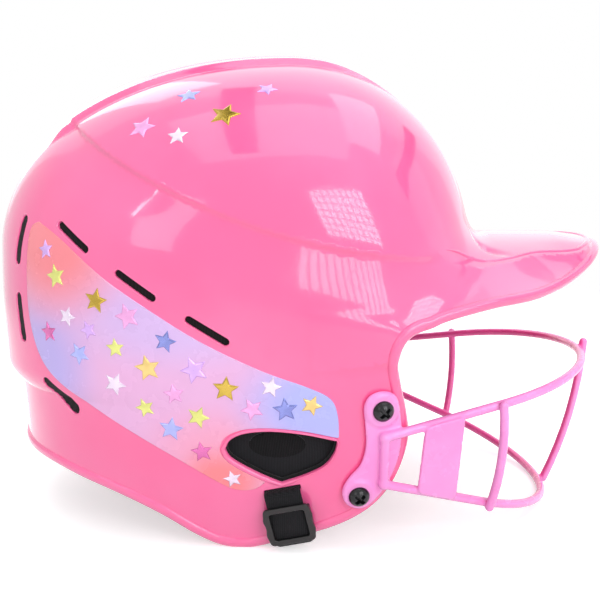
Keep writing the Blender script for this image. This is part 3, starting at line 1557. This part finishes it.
def box_form(q: Array, middle: tuple, half: tuple, r: float) -> Array:
    """Distance from a box with round edges: how far a point lies out of a smaller box, less the radius."""
    d = np.abs(q - np.array(middle)) - (np.array(half) - r)
    return np.linalg.norm(np.maximum(d, 0), axis=-1) + np.minimum(d.max(-1), 0) - r


@dataclass
class StrapFittings:
    """Side webbing with its slider on each ear flap, the studs, and the stowed chin strap."""

    width: float = 16.0
    thick: float = 1.3
    low: float = -13.1
    high: float = 12.2
    inner: float = -3.3
    outer: float = 2.3
    slider_low: float = -11.6
    slider_h: float = 18.8
    chin_reach: float = 88.0
    stow_turn: float = 18.5
    lug_y: float = 76.52
    stud_x: float = -3.0
    stud_z: float = 9.0

    def __post_init__(self) -> None:
        """Places the strap's frame."""
        self.frame = Frame.on_side(*STRAP_PLACE)

    def section(self, count: int, square: int, least: float, ribs: float = 0.0) -> Array:
        """Outline of the webbing's flat section.

        Args:
            count: Points along each face.
            square: Power that keeps the faces flat up to their edges.
            least: Least share of the thickness, squared.
            ribs: Height of the ribs, as a share of the thickness.

        Returns:
            Points across and through the webbing.
        """
        t, half = np.linspace(-1, 1, count), self.width / 2
        wave = 1 + ribs * np.cos(t * 28)
        shape = self.thick / 2 * np.sqrt(np.clip(1 - np.abs(t) ** square, least, 1)) * wave
        return np.vstack([np.stack([t * half, shape], 1), np.stack([t[::-1] * half, -shape[::-1]], 1)])

    def webbing(self) -> Net:
        """Loop of webbing round the wall: a rounded rectangle in Y and Z, swept with a round-edged band."""
        pad = self.thick / 2
        corners = np.array([[self.low - pad, self.inner - pad], [self.high + pad, self.inner - pad],
                            [self.high + pad, self.outer + pad], [self.low - pad, self.outer + pad]])
        r = 1.5
        centre = corners + np.array([[r, r], [-r, r], [-r, -r], [r, -r]])
        start = np.radians([180, 270, 0, 90])
        a = (start[:, None] + np.radians(np.linspace(0, 90, 9))[None]).reshape(-1)
        loop = np.repeat(centre, 9, 0) + r * np.stack([np.cos(a), np.sin(a)], 1)
        loop = evenly(loop, 0.8, True)
        outer_run = loop[:, 1] > self.outer
        bulge = 0.15 * np.exp(-((loop[:, 0] - (self.slider_low + self.slider_h / 2)) / 3.2) ** 2)
        loop = loop + np.stack([0 * bulge, np.where(outer_run, bulge, 0)], 1)
        tangent = unit(np.roll(loop, -1, 0) - np.roll(loop, 1, 0))
        side = np.stack([tangent[:, 1], -tangent[:, 0]], 1)
        ring = self.section(15, 14, 0.08, 0.05)
        x = np.broadcast_to(ring[None, :, 0], (len(loop), len(ring)))
        yz = loop[:, None] + side[:, None] * ring[None, :, 1:]
        points = np.stack([x, yz[..., 0], yz[..., 1]], -1).reshape(-1, 3)
        net = vertex_normals(outward(Net(points, grid_faces(len(loop), len(ring), True, True))))
        return self.frame.placed(net)

    def slider_form(self, q: Array) -> Array:
        """Slider in the strap's frame: a rounded ring with wavy sides, a back ledge and two rails.

        Args:
            q: Points in the strap's frame.

        Returns:
            Distances, negative inside.
        """
        inner = self.width + 1.2
        mid = self.slider_low + self.slider_h / 2
        half = np.array([inner / 2 + 2.0, self.slider_h / 2])
        across, up = np.abs(q[..., 0]), np.abs(q[..., 1] - mid)
        wave = 0.3 * np.cos((q[..., 1] - mid) * 2 * np.pi / 7.2)

        def rounded(w: float, h: float, r: float, side: Array | float) -> Array:
            """Distance from a rounded rectangle."""
            out = np.stack([across + side - (w - r), up - (h - r)], -1)
            return np.linalg.norm(np.maximum(out, 0), axis=-1) + np.minimum(out.max(-1), 0) - r
        border = rounded(half[0], half[1], 2.6, wave)
        window = rounded(inner / 2 - 0.9, half[1] - 2.6, 1.2, 0.0)
        ring = round_max(round_max(border, -window, 0.5), np.abs(q[..., 2] - 4.65) - 0.8, 0.7)
        rails = box_form(np.stack([across, q[..., 1], q[..., 2]], -1), (inner / 2 + 0.85, mid, 2.95),
                         (0.8, half[1] - 2.6, 2.35), 0.6)
        back = box_form(q, (0, mid, 1.3), (half[0] - 0.4, 1.5, 0.7), 0.4)
        return round_min(round_min(rails, ring, 0.5), back, 0.4)

    def chin(self) -> Net:
        """Chin strap stowed inside: a band on edge along a superellipse, turned up about the studs."""
        k = np.arange(0, 97)
        a = np.radians(180 * k / 96 - 90)
        e = 2 / 2.8
        lug = self.lug_y + self.thick / 2
        path = np.stack([self.stud_x - self.chin_reach * power(np.cos(a), e), lug * power(np.sin(a), e)], 1)
        path = evenly(path, 2.0)
        tangent = unit(np.gradient(path, axis=0))
        side = np.stack([tangent[:, 1], -tangent[:, 0]], 1)
        ring = self.section(13, 12, 0.1)
        xy = path[:, None] + side[:, None] * ring[None, :, 1:]
        z = np.broadcast_to(ring[None, :, 0], xy.shape[:2])
        points = np.concatenate([xy, z[..., None]], -1).reshape(-1, 3)
        rows, cols = xy.shape[:2]
        i = np.arange(cols)
        caps = [np.stack([np.full(cols, rows * cols + s), (i + 1) % cols + b, i + b, i + b], 1)
                for s, b in ((0, 0), (1, (rows - 1) * cols))]
        caps[1] = caps[1][:, [0, 2, 1, 1]]
        ends = points.reshape(rows, cols, 3)[[0, -1]].mean(1)
        net = Net(np.vstack([points, ends]), np.vstack([grid_faces(rows, cols, False, True), *caps]))
        net = outward(net)
        for sign in (-1, 1):
            net = net.joined(self.disc(sign))
        c, s = np.cos(np.radians(self.stow_turn)), np.sin(np.radians(self.stow_turn))
        x, y, z = net.points.T
        x = x - self.stud_x
        turned = np.stack([x * c + z * s + self.stud_x, y, -x * s + z * c + self.stud_z], 1)
        return vertex_normals(Net(turned, net.faces))

    def disc(self, sign: int) -> Net:
        """Round lug with a round edge, as a profile turned about its middle.

        Args:
            sign: 1 on the left, -1 on the right.

        Returns:
            The lug's quads.
        """
        profile = np.array([(2.55, 0.1), (2.75, -0.1), (6.9, -0.1), (7.7, 0.15), (8.0, 0.65), (7.7, 1.15),
                            (6.9, 1.4), (2.75, 1.4), (2.55, 1.2)])
        a = np.linspace(0, 2 * np.pi, 48, endpoint=False)
        r, h = profile[:, 0], profile[:, 1]
        points = np.stack([self.stud_x + np.cos(a)[:, None] * r,
                           np.broadcast_to(sign * (self.lug_y + h), (48, len(h))),
                           np.sin(a)[:, None] * r], -1)
        return outward(Net(points.reshape(-1, 3), grid_faces(48, len(h), True, True)))

    def build(self) -> list[bpy.types.Object]:
        """Builds webbing, sliders and the chin strap, and dresses the studs."""
        web = self.webbing()
        slider = self.frame.placed(surface_net(self.slider_form, (-11.6, -15.6, -0.4), (11.6, 7.4, 6.4), 0.3))
        nylon = Moulded("slider_nylon", "0B0B0C", "050506", 0.0, (0.3, 0.42), 1300, 0.08).make()
        made = []
        for side in ("right", "left"):
            band, buckle = (net if side == "left" else net.mirrored() for net in (web, slider))
            cloth = self.weave(f"webbing_{side}")
            made.append(piece(f"side_webbing_{side}", band, cloth, "helmet",
                              (f"side_strap_{side}",)))
            made.append(piece(f"slider_{side}_moulded", buckle, nylon, f"slider_{side}",
                              (f"strap_slider_{side}",)))
        cloth = self.weave("webbing_chin")
        made.append(piece("chin_strap_band", self.chin(), cloth, "chin_strap", ("chin_strap",)))
        return made

    def weave(self, name: str) -> bpy.types.Material:
        """Black webbing, woven across its own run."""
        return Fabric(name, "1E1E22", "060608", 0.0013, (0, 0, 45), 0.0004, 0.12).make()


def dome_point(z: Array, turn: Array, grow: Array) -> Array:
    """Point of the dome at height z and a turn in degrees, grown outwards: a superellipse at each height.

    Args:
        z: Heights.
        turn: Turns from the front, in degrees.
        grow: How far outside the dome.

    Returns:
        One point for each height and turn.
    """
    c, s = np.cos(np.radians(turn)), np.sin(np.radians(turn))
    over = np.clip((z - SHELL.level) / (SHELL.rise + grow), 0, 1)
    shrink = np.clip(1 - over**2, 0, None) ** (1 / SHELL.n_rise)
    under = np.clip((SHELL.level - z) / 100, 0, None)
    ahead = c > 0
    n = SHELL.exponent(~ahead, z)
    behind = SHELL.rear * (1 - 0.01 * under**2) - SHELL.tuck(z)
    length = np.where(ahead, SHELL.front + grow, behind + grow) * shrink
    width = (SHELL.half_width * (1 - 0.09 * under**2) + grow) * shrink
    return np.stack([SHELL.middle_x + length * power(c, 2 / n), width * power(s, 2 / n), z + 0 * length], -1)


@dataclass(frozen=True)
class WallPad:
    """One pad on the shell's wall between two turns and two heights, with its sewn channels."""

    node: str
    turns: tuple[float, float]
    levels: tuple[float, float]
    cuts: tuple[float, ...]


@dataclass
class Padding:
    """Foam pads in jersey that line the shell."""

    seat: float = 5.5
    edge: float = 4.0
    full: float = 12.0
    channel: float = 3.0
    ear_at: tuple[float, float] = (-8.0, 47.5)
    ear_trim: tuple = ((0.2, -1.0), (-0.45, -1.0), (-0.6, -1.2), (-0.65, -2.4), (-0.6, -3.7), (0.2, -4.2),
                       (1.6, -4.3), (1.6, -3.9), (0.4, -3.7))
    pads: tuple[WallPad, ...] = (
        WallPad("forehead_pad", (-52, 52), (112, 156), (0.25, 0.5, 0.75)),
        WallPad("rear_pad", (119.5, 240.5), (58, 152), (0.25, 0.5, 0.75)),
        WallPad("temple_pad_left", (60, 117), (94, 156), (0.5,)),
        WallPad("temple_pad_right", (-60, -117), (94, 156), (0.5,)),
    )

    def wall_pad(self, pad: WallPad) -> Net:
        """Crowned cushion on a grid of two faces that meet at its border.

        At shares u and v, with e the eighth-power distance from the middle, the thickness is the square root
        of 1 - e**8 times the edge and the swell (1 - |2u - 1|**4)(1 - |2v - 1|**4), less a groove at each
        channel.

        Args:
            pad: The pad's place and channels.

        Returns:
            The cushion's quads.
        """
        span = abs(pad.turns[1] - pad.turns[0]) * 2.0
        cols, rows = int(span / 2.6), int((pad.levels[1] - pad.levels[0]) / 2.4)
        u, v = np.meshgrid(np.linspace(0, 1, cols + 1), np.linspace(0, 1, rows + 1))
        su, sv = np.abs(2 * u - 1), np.abs(2 * v - 1)
        e = (su**10 + sv**8) ** (1 / 8)
        round_off = np.sqrt(np.clip(1 - np.minimum(e, 1) ** 8, 0, 1))
        round_off[[0, -1]] = 0
        round_off[:, [0, -1]] = 0
        swell = (1 - su**4) * (1 - sv**4)
        groove = sum(np.exp(-((u - c) * 24) ** 2) for c in pad.cuts)
        seam = 0.8 * np.exp(-((e - 0.9) / 0.018) ** 2)
        filling = self.edge / 2 + (self.full - self.edge) * swell - seam
        deep = self.seat + self.edge / 2 + filling * round_off
        deep = deep - self.channel * groove * swell
        back = self.seat + self.edge / 2 * (1 - round_off)
        middle = sum(pad.levels) / 2
        half = (pad.levels[1] - pad.levels[0]) / 2 * np.sqrt(1 - 0.6 * su**10)
        z = middle + (2 * v - 1) * half
        turn = mix(pad.turns[0], pad.turns[1], u)
        front = dome_point(z, turn, -deep).reshape(-1, 3)
        rear = dome_point(z, turn, -back).reshape(-1, 3)
        quads = grid_faces(rows + 1, cols + 1, False, False)
        return self.closed(front, rear, quads)

    def closed(self, front: Array, rear: Array, quads: Array) -> Net:
        """Two faces with the same grid, joined where their borders lie on each other.

        Args:
            front: Points of the face to the head.
            rear: Points of the face to the shell.
            quads: Quads of one face.

        Returns:
            The closed cushion.
        """
        apart = np.linalg.norm(front - rear, axis=1) > 1e-6
        number = np.where(apart, np.cumsum(apart) - 1 + len(front), np.arange(len(front)))
        points = np.vstack([front, rear[apart]])
        return vertex_normals(outward(Net(points, np.vstack([quads, number[quads][:, ::-1]]))))

    def crown(self) -> Net:
        """Oval cushion under the crown, with five channels that meet in its middle."""
        rows, cols = 24, 72
        s, a = np.meshgrid(np.linspace(0.02, 1, rows), np.arange(cols) / cols * 2 * np.pi, indexing="ij")
        x = SHELL.middle_x - 12 + 58 * s * np.cos(a)
        y = 44 * s * np.sin(a)
        round_off = np.sqrt(np.clip(1 - s**8, 0, 1))
        round_off[-1] = 0
        u = x - SHELL.middle_x
        length = np.where(u > 0, SHELL.front, SHELL.rear) - self.seat
        e = ((np.abs(u) / length) ** 2.2 + (np.abs(y) / (SHELL.half_width - self.seat)) ** 2.2) ** (1 / 2.2)
        top = SHELL.level + (SHELL.rise - self.seat) * np.sqrt(np.clip(1 - e**2.1, 0, 1))
        groove = self.channel * np.abs(np.cos(2.5 * a)) ** 16 * s * (1 - s) * 3
        deep = self.edge / 2 + (self.edge / 2 + (self.full - self.edge) * (1 - s**4)) * round_off - groove
        back = self.edge / 2 * (1 - round_off)
        front = np.stack([x, y, top - deep], -1).reshape(-1, 3)
        rear = np.stack([x, y, top - back], -1).reshape(-1, 3)
        quads = grid_faces(rows, cols, False, True)
        i = np.arange(cols)
        fan = np.stack([np.zeros(cols, int), i, (i + 1) % cols, (i + 1) % cols], 1)[:, [0, 2, 1, 1]]
        return self.closed(front, rear, np.vstack([quads, fan[1:-1]]))

    def ear_ring(self) -> Net:
        """Ring cushion round the ear, on the left: its section runs from the hole to the border and back."""
        turns, section = 90, 36
        a = np.arange(turns) / turns * 2 * np.pi
        t = np.arange(section) / section * 2 * np.pi
        a, t = np.meshgrid(a, t, indexing="ij")
        s = 0.5 - 0.5 * np.cos(t)
        x, z = self.ear_at
        hole = np.stack([x + 12 * np.cos(a), z + 6 * np.sin(a)], -1)
        border = np.stack([x + 33 * power(np.cos(a), 0.8), 57.5 + 34.5 * power(np.sin(a), 0.8)], -1)
        q = mix(hole, border, s[..., None])
        thick = self.edge + (self.full - self.edge) * (1 - np.abs(2 * s - 1) ** 3)
        depth = self.seat + thick / 2 * (1 + power(np.sin(t), 0.6))
        y = SHELL.side_y(q[..., 0].ravel(), q[..., 1].ravel(), 0.0).reshape(q.shape[:-1])
        base = np.stack([q[..., 0], y, q[..., 1]], -1).reshape(-1, 3)
        n = unit(gradient(SHELL.dome, base, 1.0))
        points = base - n * depth.reshape(-1, 1) * np.clip(1 / np.maximum(n[:, 1:2], 0.6), 1, 1.4)
        return vertex_normals(outward(Net(points, grid_faces(turns, section, True, True))))

    def build(self) -> list[bpy.types.Object]:
        """Builds and declares every pad."""
        cloth = Fabric("pad_jersey", "2C2C31", "0D0D0F", 0.0009, (0, 0, 30), 0.0003, 0.3).make()
        made = [piece(f"{pad.node}_cushion", self.wall_pad(pad), cloth, "helmet",
                      (pad.node,)) for pad in self.pads]
        made.append(piece("crown_pad_cushion", self.crown(), cloth, "helmet", ("crown_pad",)))
        ring = self.ear_ring()
        for side in ("right", "left"):
            net = ring if side == "left" else ring.mirrored()
            made.append(piece(f"ear_pad_{side}_cushion", net, cloth, "helmet",
                              (f"ear_pad_{side}",)))
        return made + self.liners()

    def liners(self) -> list[bpy.types.Object]:
        """Black lining in each vent, a trim on the ear hole's wall, and gauze across each ear pad's hole."""
        half = (OUTLINES.vent_length - OUTLINES.vent_width) / 2
        nets = []
        for x, z, turn in OUTLINES.vents:
            frame = Frame.on_side(x, z, turn)

            def form(p: Array) -> Array:
                """One vent's lining and plug."""
                q = frame.local(p)
                slot = np.hypot(np.maximum(np.abs(q[..., 0]) - half, 0), q[..., 1])
                over = SHELL(p)
                behind = round_max(slot - 5.5, np.abs(over + SHELL.wall + 1.0) - 0.6, 0.4)
                plug = np.maximum(slot - OUTLINES.vent_radius(x) - 0.3,
                                  np.abs(over + 2.2) - (1.7 if x < -100 else 1.0))
                return np.minimum(behind, plug)
            corner = np.array([17.0, 17.0, 17.0])
            nets.append(surface_net(form, frame.origin - corner, frame.origin + corner, 1.1))
        ear_x, ear_z = self.ear_at
        gauze = lambda p: round_max(np.hypot(p[..., 0] - ear_x, 1.8 * (p[..., 2] - ear_z)) - 13.0,
                                    np.abs(SHELL(p) + self.seat + 2.4) - 0.9, 0.3)
        nets.append(surface_net(gauze, (-26, 58, 34), (10, 100, 61), 0.9))
        ear = OUTLINES.ear()
        q = evenly(ear, 1.2, True)
        hole = lambda p: outline_distance(p[..., [0, 2]], ear)
        edge = np.stack([q[:, 0], SHELL.side_y(q[:, 0], q[:, 1]), q[:, 1]], 1)
        nets.append(bead(on_both(edge, hole, SHELL, 0.0, 2), hole, np.array(self.ear_trim), True))
        joined = gathered(nets + [net.mirrored() for net in nets])
        cloth = Fabric("lining_gauze", "1A1A1D", "070708", 0.0011, (0, 0, 0), 0.0003, 0.1).make()
        return [piece("vent_and_ear_linings", joined, cloth, "helmet")]


# Studio


@dataclass(frozen=True)
class Eye:
    """The photograph's viewpoint, in millimetres, degrees and pixels."""

    azimuth: float = 1.3
    elevation: float = 9.6
    distance: float = 456.0
    look: tuple[float, float, float] = (0.0, 0.0, 100.0)
    focal_px: float = 879.0
    frame_px: float = 600.0
    look_px: tuple[float, float] = (300.0, 295.0)

    def axes(self) -> tuple[Array, Array, Array]:
        """The camera's right, up and back."""
        a, e = np.radians(self.azimuth), np.radians(self.elevation)
        right = np.array([np.cos(a), np.sin(a), 0.0])
        up = np.array([-np.sin(a) * np.sin(e), np.cos(a) * np.sin(e), np.cos(e)])
        back = np.array([np.sin(a) * np.cos(e), -np.cos(a) * np.cos(e), np.sin(e)])
        return right, up, back

    def place(self) -> None:
        """Makes the camera and gives it to the scene."""
        right, up, back = self.axes()
        data = bpy.data.cameras.new("camera")
        data.sensor_width = 36.0
        data.lens = self.focal_px / self.frame_px * data.sensor_width
        data.shift_x = (self.frame_px / 2 - self.look_px[0]) / self.frame_px
        data.shift_y = (self.look_px[1] - self.frame_px / 2) / self.frame_px
        data.clip_start = 0.01
        camera = bpy.data.objects.new("camera", data)
        stand = (np.array(self.look) + self.distance * back) * MM
        turn = np.column_stack([right, up, back, stand])
        camera.matrix_world = Matrix(np.vstack([turn, [0, 0, 0, 1]]).tolist())
        bpy.context.scene.collection.objects.link(camera)
        bpy.context.scene.camera = camera


@dataclass(frozen=True)
class SoftBox:
    """One lamp or card that faces the object from a direction."""

    name: str
    azimuth: float
    elevation: float
    distance: float
    size: tuple[float, float]
    strength: float
    bars: tuple[int, int] = (0, 0)


@dataclass
class Studio:
    """Pale floor, white surround, lamps and cards."""

    surround: float = 0.6
    lift: float = 0.5
    bounce: float = 0.66
    boxes: tuple[SoftBox, ...] = ()

    def direction(self, box: SoftBox) -> Vector:
        """Unit direction from the object to a box; azimuth 0 is at the camera, 90 at the face side."""
        a, e = np.radians(box.azimuth), np.radians(box.elevation)
        return Vector((np.sin(a) * np.cos(e), -np.cos(a) * np.cos(e), np.sin(e)))

    def world(self) -> None:
        """White for what sees the surround directly, and a plain level for the light that it gives."""
        world = bpy.data.worlds.new("surround")
        world.use_nodes = True
        tree = world.node_tree
        tree.nodes.clear()
        out = tree.nodes.new("ShaderNodeOutputWorld")
        mixer = tree.nodes.new("ShaderNodeMixShader")
        rays = tree.nodes.new("ShaderNodeLightPath")
        plain, white = tree.nodes.new("ShaderNodeBackground"), tree.nodes.new("ShaderNodeBackground")
        plain.inputs[0].default_value = (0.97, 0.98, 1.0, 1.0)
        plain.inputs[1].default_value = self.surround
        white.inputs[0].default_value = (1, 1, 1, 1)
        white.inputs[1].default_value = 1.0
        share = rays.outputs["Is Camera Ray"]
        for ray in ("Is Transmission Ray", "Is Glossy Ray"):
            either = tree.nodes.new("ShaderNodeMath")
            either.operation = "MAXIMUM"
            tree.links.new(share, either.inputs[0])
            tree.links.new(rays.outputs[ray], either.inputs[1])
            share = either.outputs[0]
        tree.links.new(share, mixer.inputs[0])
        tree.links.new(plain.outputs[0], mixer.inputs[1])
        tree.links.new(white.outputs[0], mixer.inputs[2])
        tree.links.new(mixer.outputs[0], out.inputs[0])
        bpy.context.scene.world = world

    def floor(self) -> bpy.types.Object:
        """Round pale floor that fades into the white surround and keeps the shadow."""
        a = np.linspace(0, 2 * np.pi, 96, endpoint=False)
        r = np.array([0.05, 0.3, 1.0, 3.0]) * 1000
        points = np.stack([np.cos(a)[None] * r[:, None], np.sin(a)[None] * r[:, None], np.zeros((4, 96))],
                          -1).reshape(-1, 3)
        faces = grid_faces(4, 96, False, True)[:, ::-1]
        mesh = bpy.data.meshes.new("floor")
        mesh.from_pydata((np.vstack([points, [[0, 0, 0]]]) * MM).tolist(), [],
                         faces.tolist() + [[i, (i + 1) % 96, 4 * 96] for i in range(96)])
        mesh.update()
        g = Graph("floor_pale", Base_Color=(0.86, 0.86, 0.86, 1), Roughness=0.9, Specular_IOR_Level=0.1)
        x, y, _ = g.axes()
        reach = g.sum("SQRT", g.sum("ADD", g.sum("MULTIPLY", x, x), g.sum("MULTIPLY", y, y)))
        rays = g.add("ShaderNodeLightPath")
        glow = g.add("ShaderNodeEmission", {"Color": (1, 1, 1, 1), "Strength": 1.0})
        lift = g.add("ShaderNodeEmission", {"Color": (1, 1, 1, 1), "Strength": self.lift})
        bounce = g.add("ShaderNodeBsdfDiffuse", {"Color": (*[self.bounce] * 3, 1)})
        near = g.add("ShaderNodeAddShader", {0: g.shader.outputs[0], 1: lift.outputs[0]})
        fade = g.add("ShaderNodeMixShader",
                     {0: g.span(reach, 0.3, 0.75, 0, 1), 1: near.outputs[0], 2: glow.outputs[0]})
        seen = g.sum("MAXIMUM", rays.outputs["Is Camera Ray"], rays.outputs["Is Transmission Ray"])
        seen = g.sum("MAXIMUM", seen, rays.outputs["Is Glossy Ray"])
        final = g.add("ShaderNodeMixShader", {0: seen, 1: bounce.outputs[0], 2: fade.outputs[0]})
        g.tree.links.new(final.outputs[0], g.tree.nodes["Material Output"].inputs[0])
        mesh.materials.append(g.material)
        floor = bpy.data.objects.new("floor", mesh)
        bpy.context.scene.collection.objects.link(floor)
        return floor

    def card(self, box: SoftBox) -> None:
        """A glowing or dark card that only reflections and light see, with dark bars where asked.

        Args:
            box: The card's place, size and strength.
        """
        toward = self.direction(box)
        w, h = box.size[0] / 2, box.size[1] / 2
        mesh = bpy.data.meshes.new(box.name)
        turn = toward.to_track_quat("Z", "Y").to_matrix()
        middle = Vector((0, 0, 0.1)) + toward * box.distance
        corners = [middle + turn @ Vector(c) for c in ((-w, -h, 0), (w, -h, 0), (w, h, 0), (-w, h, 0))]
        mesh.from_pydata([tuple(c) for c in corners], [], [(3, 2, 1, 0)])
        uv = mesh.uv_layers.new(name="UVMap")
        for loop, at in zip(uv.data, ((0, 1), (1, 1), (1, 0), (0, 0))):
            loop.uv = at
        material = bpy.data.materials.new(box.name)
        material.use_nodes = True
        tree = material.node_tree
        tree.nodes.clear()
        out = tree.nodes.new("ShaderNodeOutputMaterial")
        glow = tree.nodes.new("ShaderNodeEmission")
        glow.inputs["Strength"].default_value = box.strength
        if box.bars[0]:
            coords = tree.nodes.new("ShaderNodeTexCoord")
            brick = tree.nodes.new("ShaderNodeTexBrick")
            brick.offset = 0.0
            sizes = {"Scale": 1.0, "Brick Width": 1 / box.bars[0], "Row Height": 1 / box.bars[1],
                     "Mortar Size": 0.18 / box.bars[0]}
            colours = {"Color1": (1, 1, 1, 1), "Color2": (1, 1, 1, 1), "Mortar": (0.22, 0.22, 0.22, 1)}
            for key, value in (sizes | colours).items():
                brick.inputs[key].default_value = value
            tree.links.new(coords.outputs["UV"], brick.inputs["Vector"])
            tree.links.new(brick.outputs["Color"], glow.inputs["Color"])
        tree.links.new(glow.outputs[0], out.inputs[0])
        mesh.materials.append(material)
        card = bpy.data.objects.new(box.name, mesh)
        card.visible_camera = False
        bpy.context.scene.collection.objects.link(card)

    def build(self) -> None:
        """Builds the surround, the floor and the boxes."""
        self.world()
        self.floor()
        for box in self.boxes:
            self.card(box)
        scene = bpy.context.scene
        scene.view_settings.view_transform = "Standard"


BOXES = (
    SoftBox("key_window", 31, 28, 1.5, (0.8, 0.66), 8.0, (9, 7)),
    SoftBox("low_window", 22, 4, 1.6, (1.1, 0.2), 5.5, (12, 2)),
    SoftBox("left_bank", -31, 22, 1.6, (0.42, 0.6), 2.8),
    SoftBox("top_bank", 10, 80, 1.7, (1.6, 1.2), 1.9),
    SoftBox("back_bank", 180, 35, 2.2, (4.4, 2.8), 1.35),
    SoftBox("rear_edge", -150, 30, 1.9, (0.5, 1.6), 3.0),
    SoftBox("rear_fill", -85, 20, 1.8, (0.6, 1.2), 1.1),
    SoftBox("face_fill", 100, 20, 1.8, (0.7, 1.4), 1.3),
    SoftBox("top_flag", -90, 80, 1.45, (1.5, 0.17), 0.05),
    SoftBox("visor_bank", 112, 60, 1.6, (1.1, 0.5), 2.6),
    SoftBox("side_flag", 110, 36, 1.45, (1.1, 0.15), 0.05),
    SoftBox("leaf_middle", -42, 35, 1.4, (0.03, 0.12), 12),
)

STARS = (
    Star(-103, 121, 5.4, 14, Foil.LIME), Star(-98, 104, 4.6, -20, Foil.SILVER),
    Star(-108, 96, 4.8, 8, Foil.PLUM), Star(-93, 88, 5.2, 30, Foil.PERIWINKLE),
    Star(-84, 112, 5.6, -12, Foil.OLIVE), Star(-88, 99, 4.2, 24, Foil.LILAC),
    Star(-76, 92, 4.4, 4, Foil.LIME), Star(-70, 106, 5.8, 18, Foil.MAUVE),
    Star(-77, 76, 5.4, -26, Foil.SILVER), Star(-62, 84, 6.0, 12, Foil.GOLD),
    Star(-64, 66, 4.6, 20, Foil.LIME), Star(-54, 96, 5.0, -16, Foil.SLATE),
    Star(-51, 73, 4.8, 8, Foil.MAUVE), Star(-53, 57, 5.6, -10, Foil.PERIWINKLE),
    Star(-42, 84, 6.2, 22, Foil.LILAC), Star(-41, 63, 5.2, -22, Foil.LIME),
    Star(-40, 47, 5.0, 10, Foil.PLUM), Star(-29, 76, 5.8, -6, Foil.OLIVE),
    Star(-27, 34.5, 4.2, 16, Foil.SILVER), Star(-18, 67, 5.2, 26, Foil.MAUVE),
    Star(-10, 77, 4.8, -14, Foil.SILVER), Star(-4, 67, 5.6, 6, Foil.SLATE), Star(7, 69, 4.8, -24, Foil.GOLD),
    Star(-108, 132, 4.4, 10, Foil.LILAC), Star(-66, 183, 6.4, 8, Foil.MAUVE, -66),
    Star(-47, 195, 5.6, -18, Foil.PERIWINKLE, -54), Star(-30, 187, 7.0, 14, Foil.OLIVE, -68),
    Star(-13, 197, 4.8, 24, Foil.LILAC, -55), Star(-50, 181, 4.8, -6, Foil.SILVER, -76),
)


def main() -> None:
    """Builds the studio and every sub-assembly, and reports the pieces."""
    logging.basicConfig(level=logging.INFO, format="%(message)s")
    Eye().place()
    Studio(boxes=BOXES).build()
    pieces = Shell().build()
    film = PanelFilm()
    pieces += film.build()
    pieces += StarFoils(STARS).build(film.inside)
    pieces += FaceGuard().build()
    pieces += StrapFittings().build()
    pieces += Padding().build()
    zinc = Moulded("zinc_plate", "B9BCC2", "8F9299", 0.9, (0.25, 0.42), 700, 0.05).make()
    hooks = Fabric("hook_cloth", "26262A", "0D0D0F", 0.0009, (0, 0, 0), 0.0006).make()
    for node, finish in (("tee_nuts", zinc), ("snap_stud_right", zinc), ("snap_stud_left", zinc),
                         ("hook_patches", hooks)):
        for place in frame["nodes"][node].material_slots:
            place.material = finish
    log.info("%d pieces", len(pieces))
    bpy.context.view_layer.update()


if __name__ == "__main__":
    main()
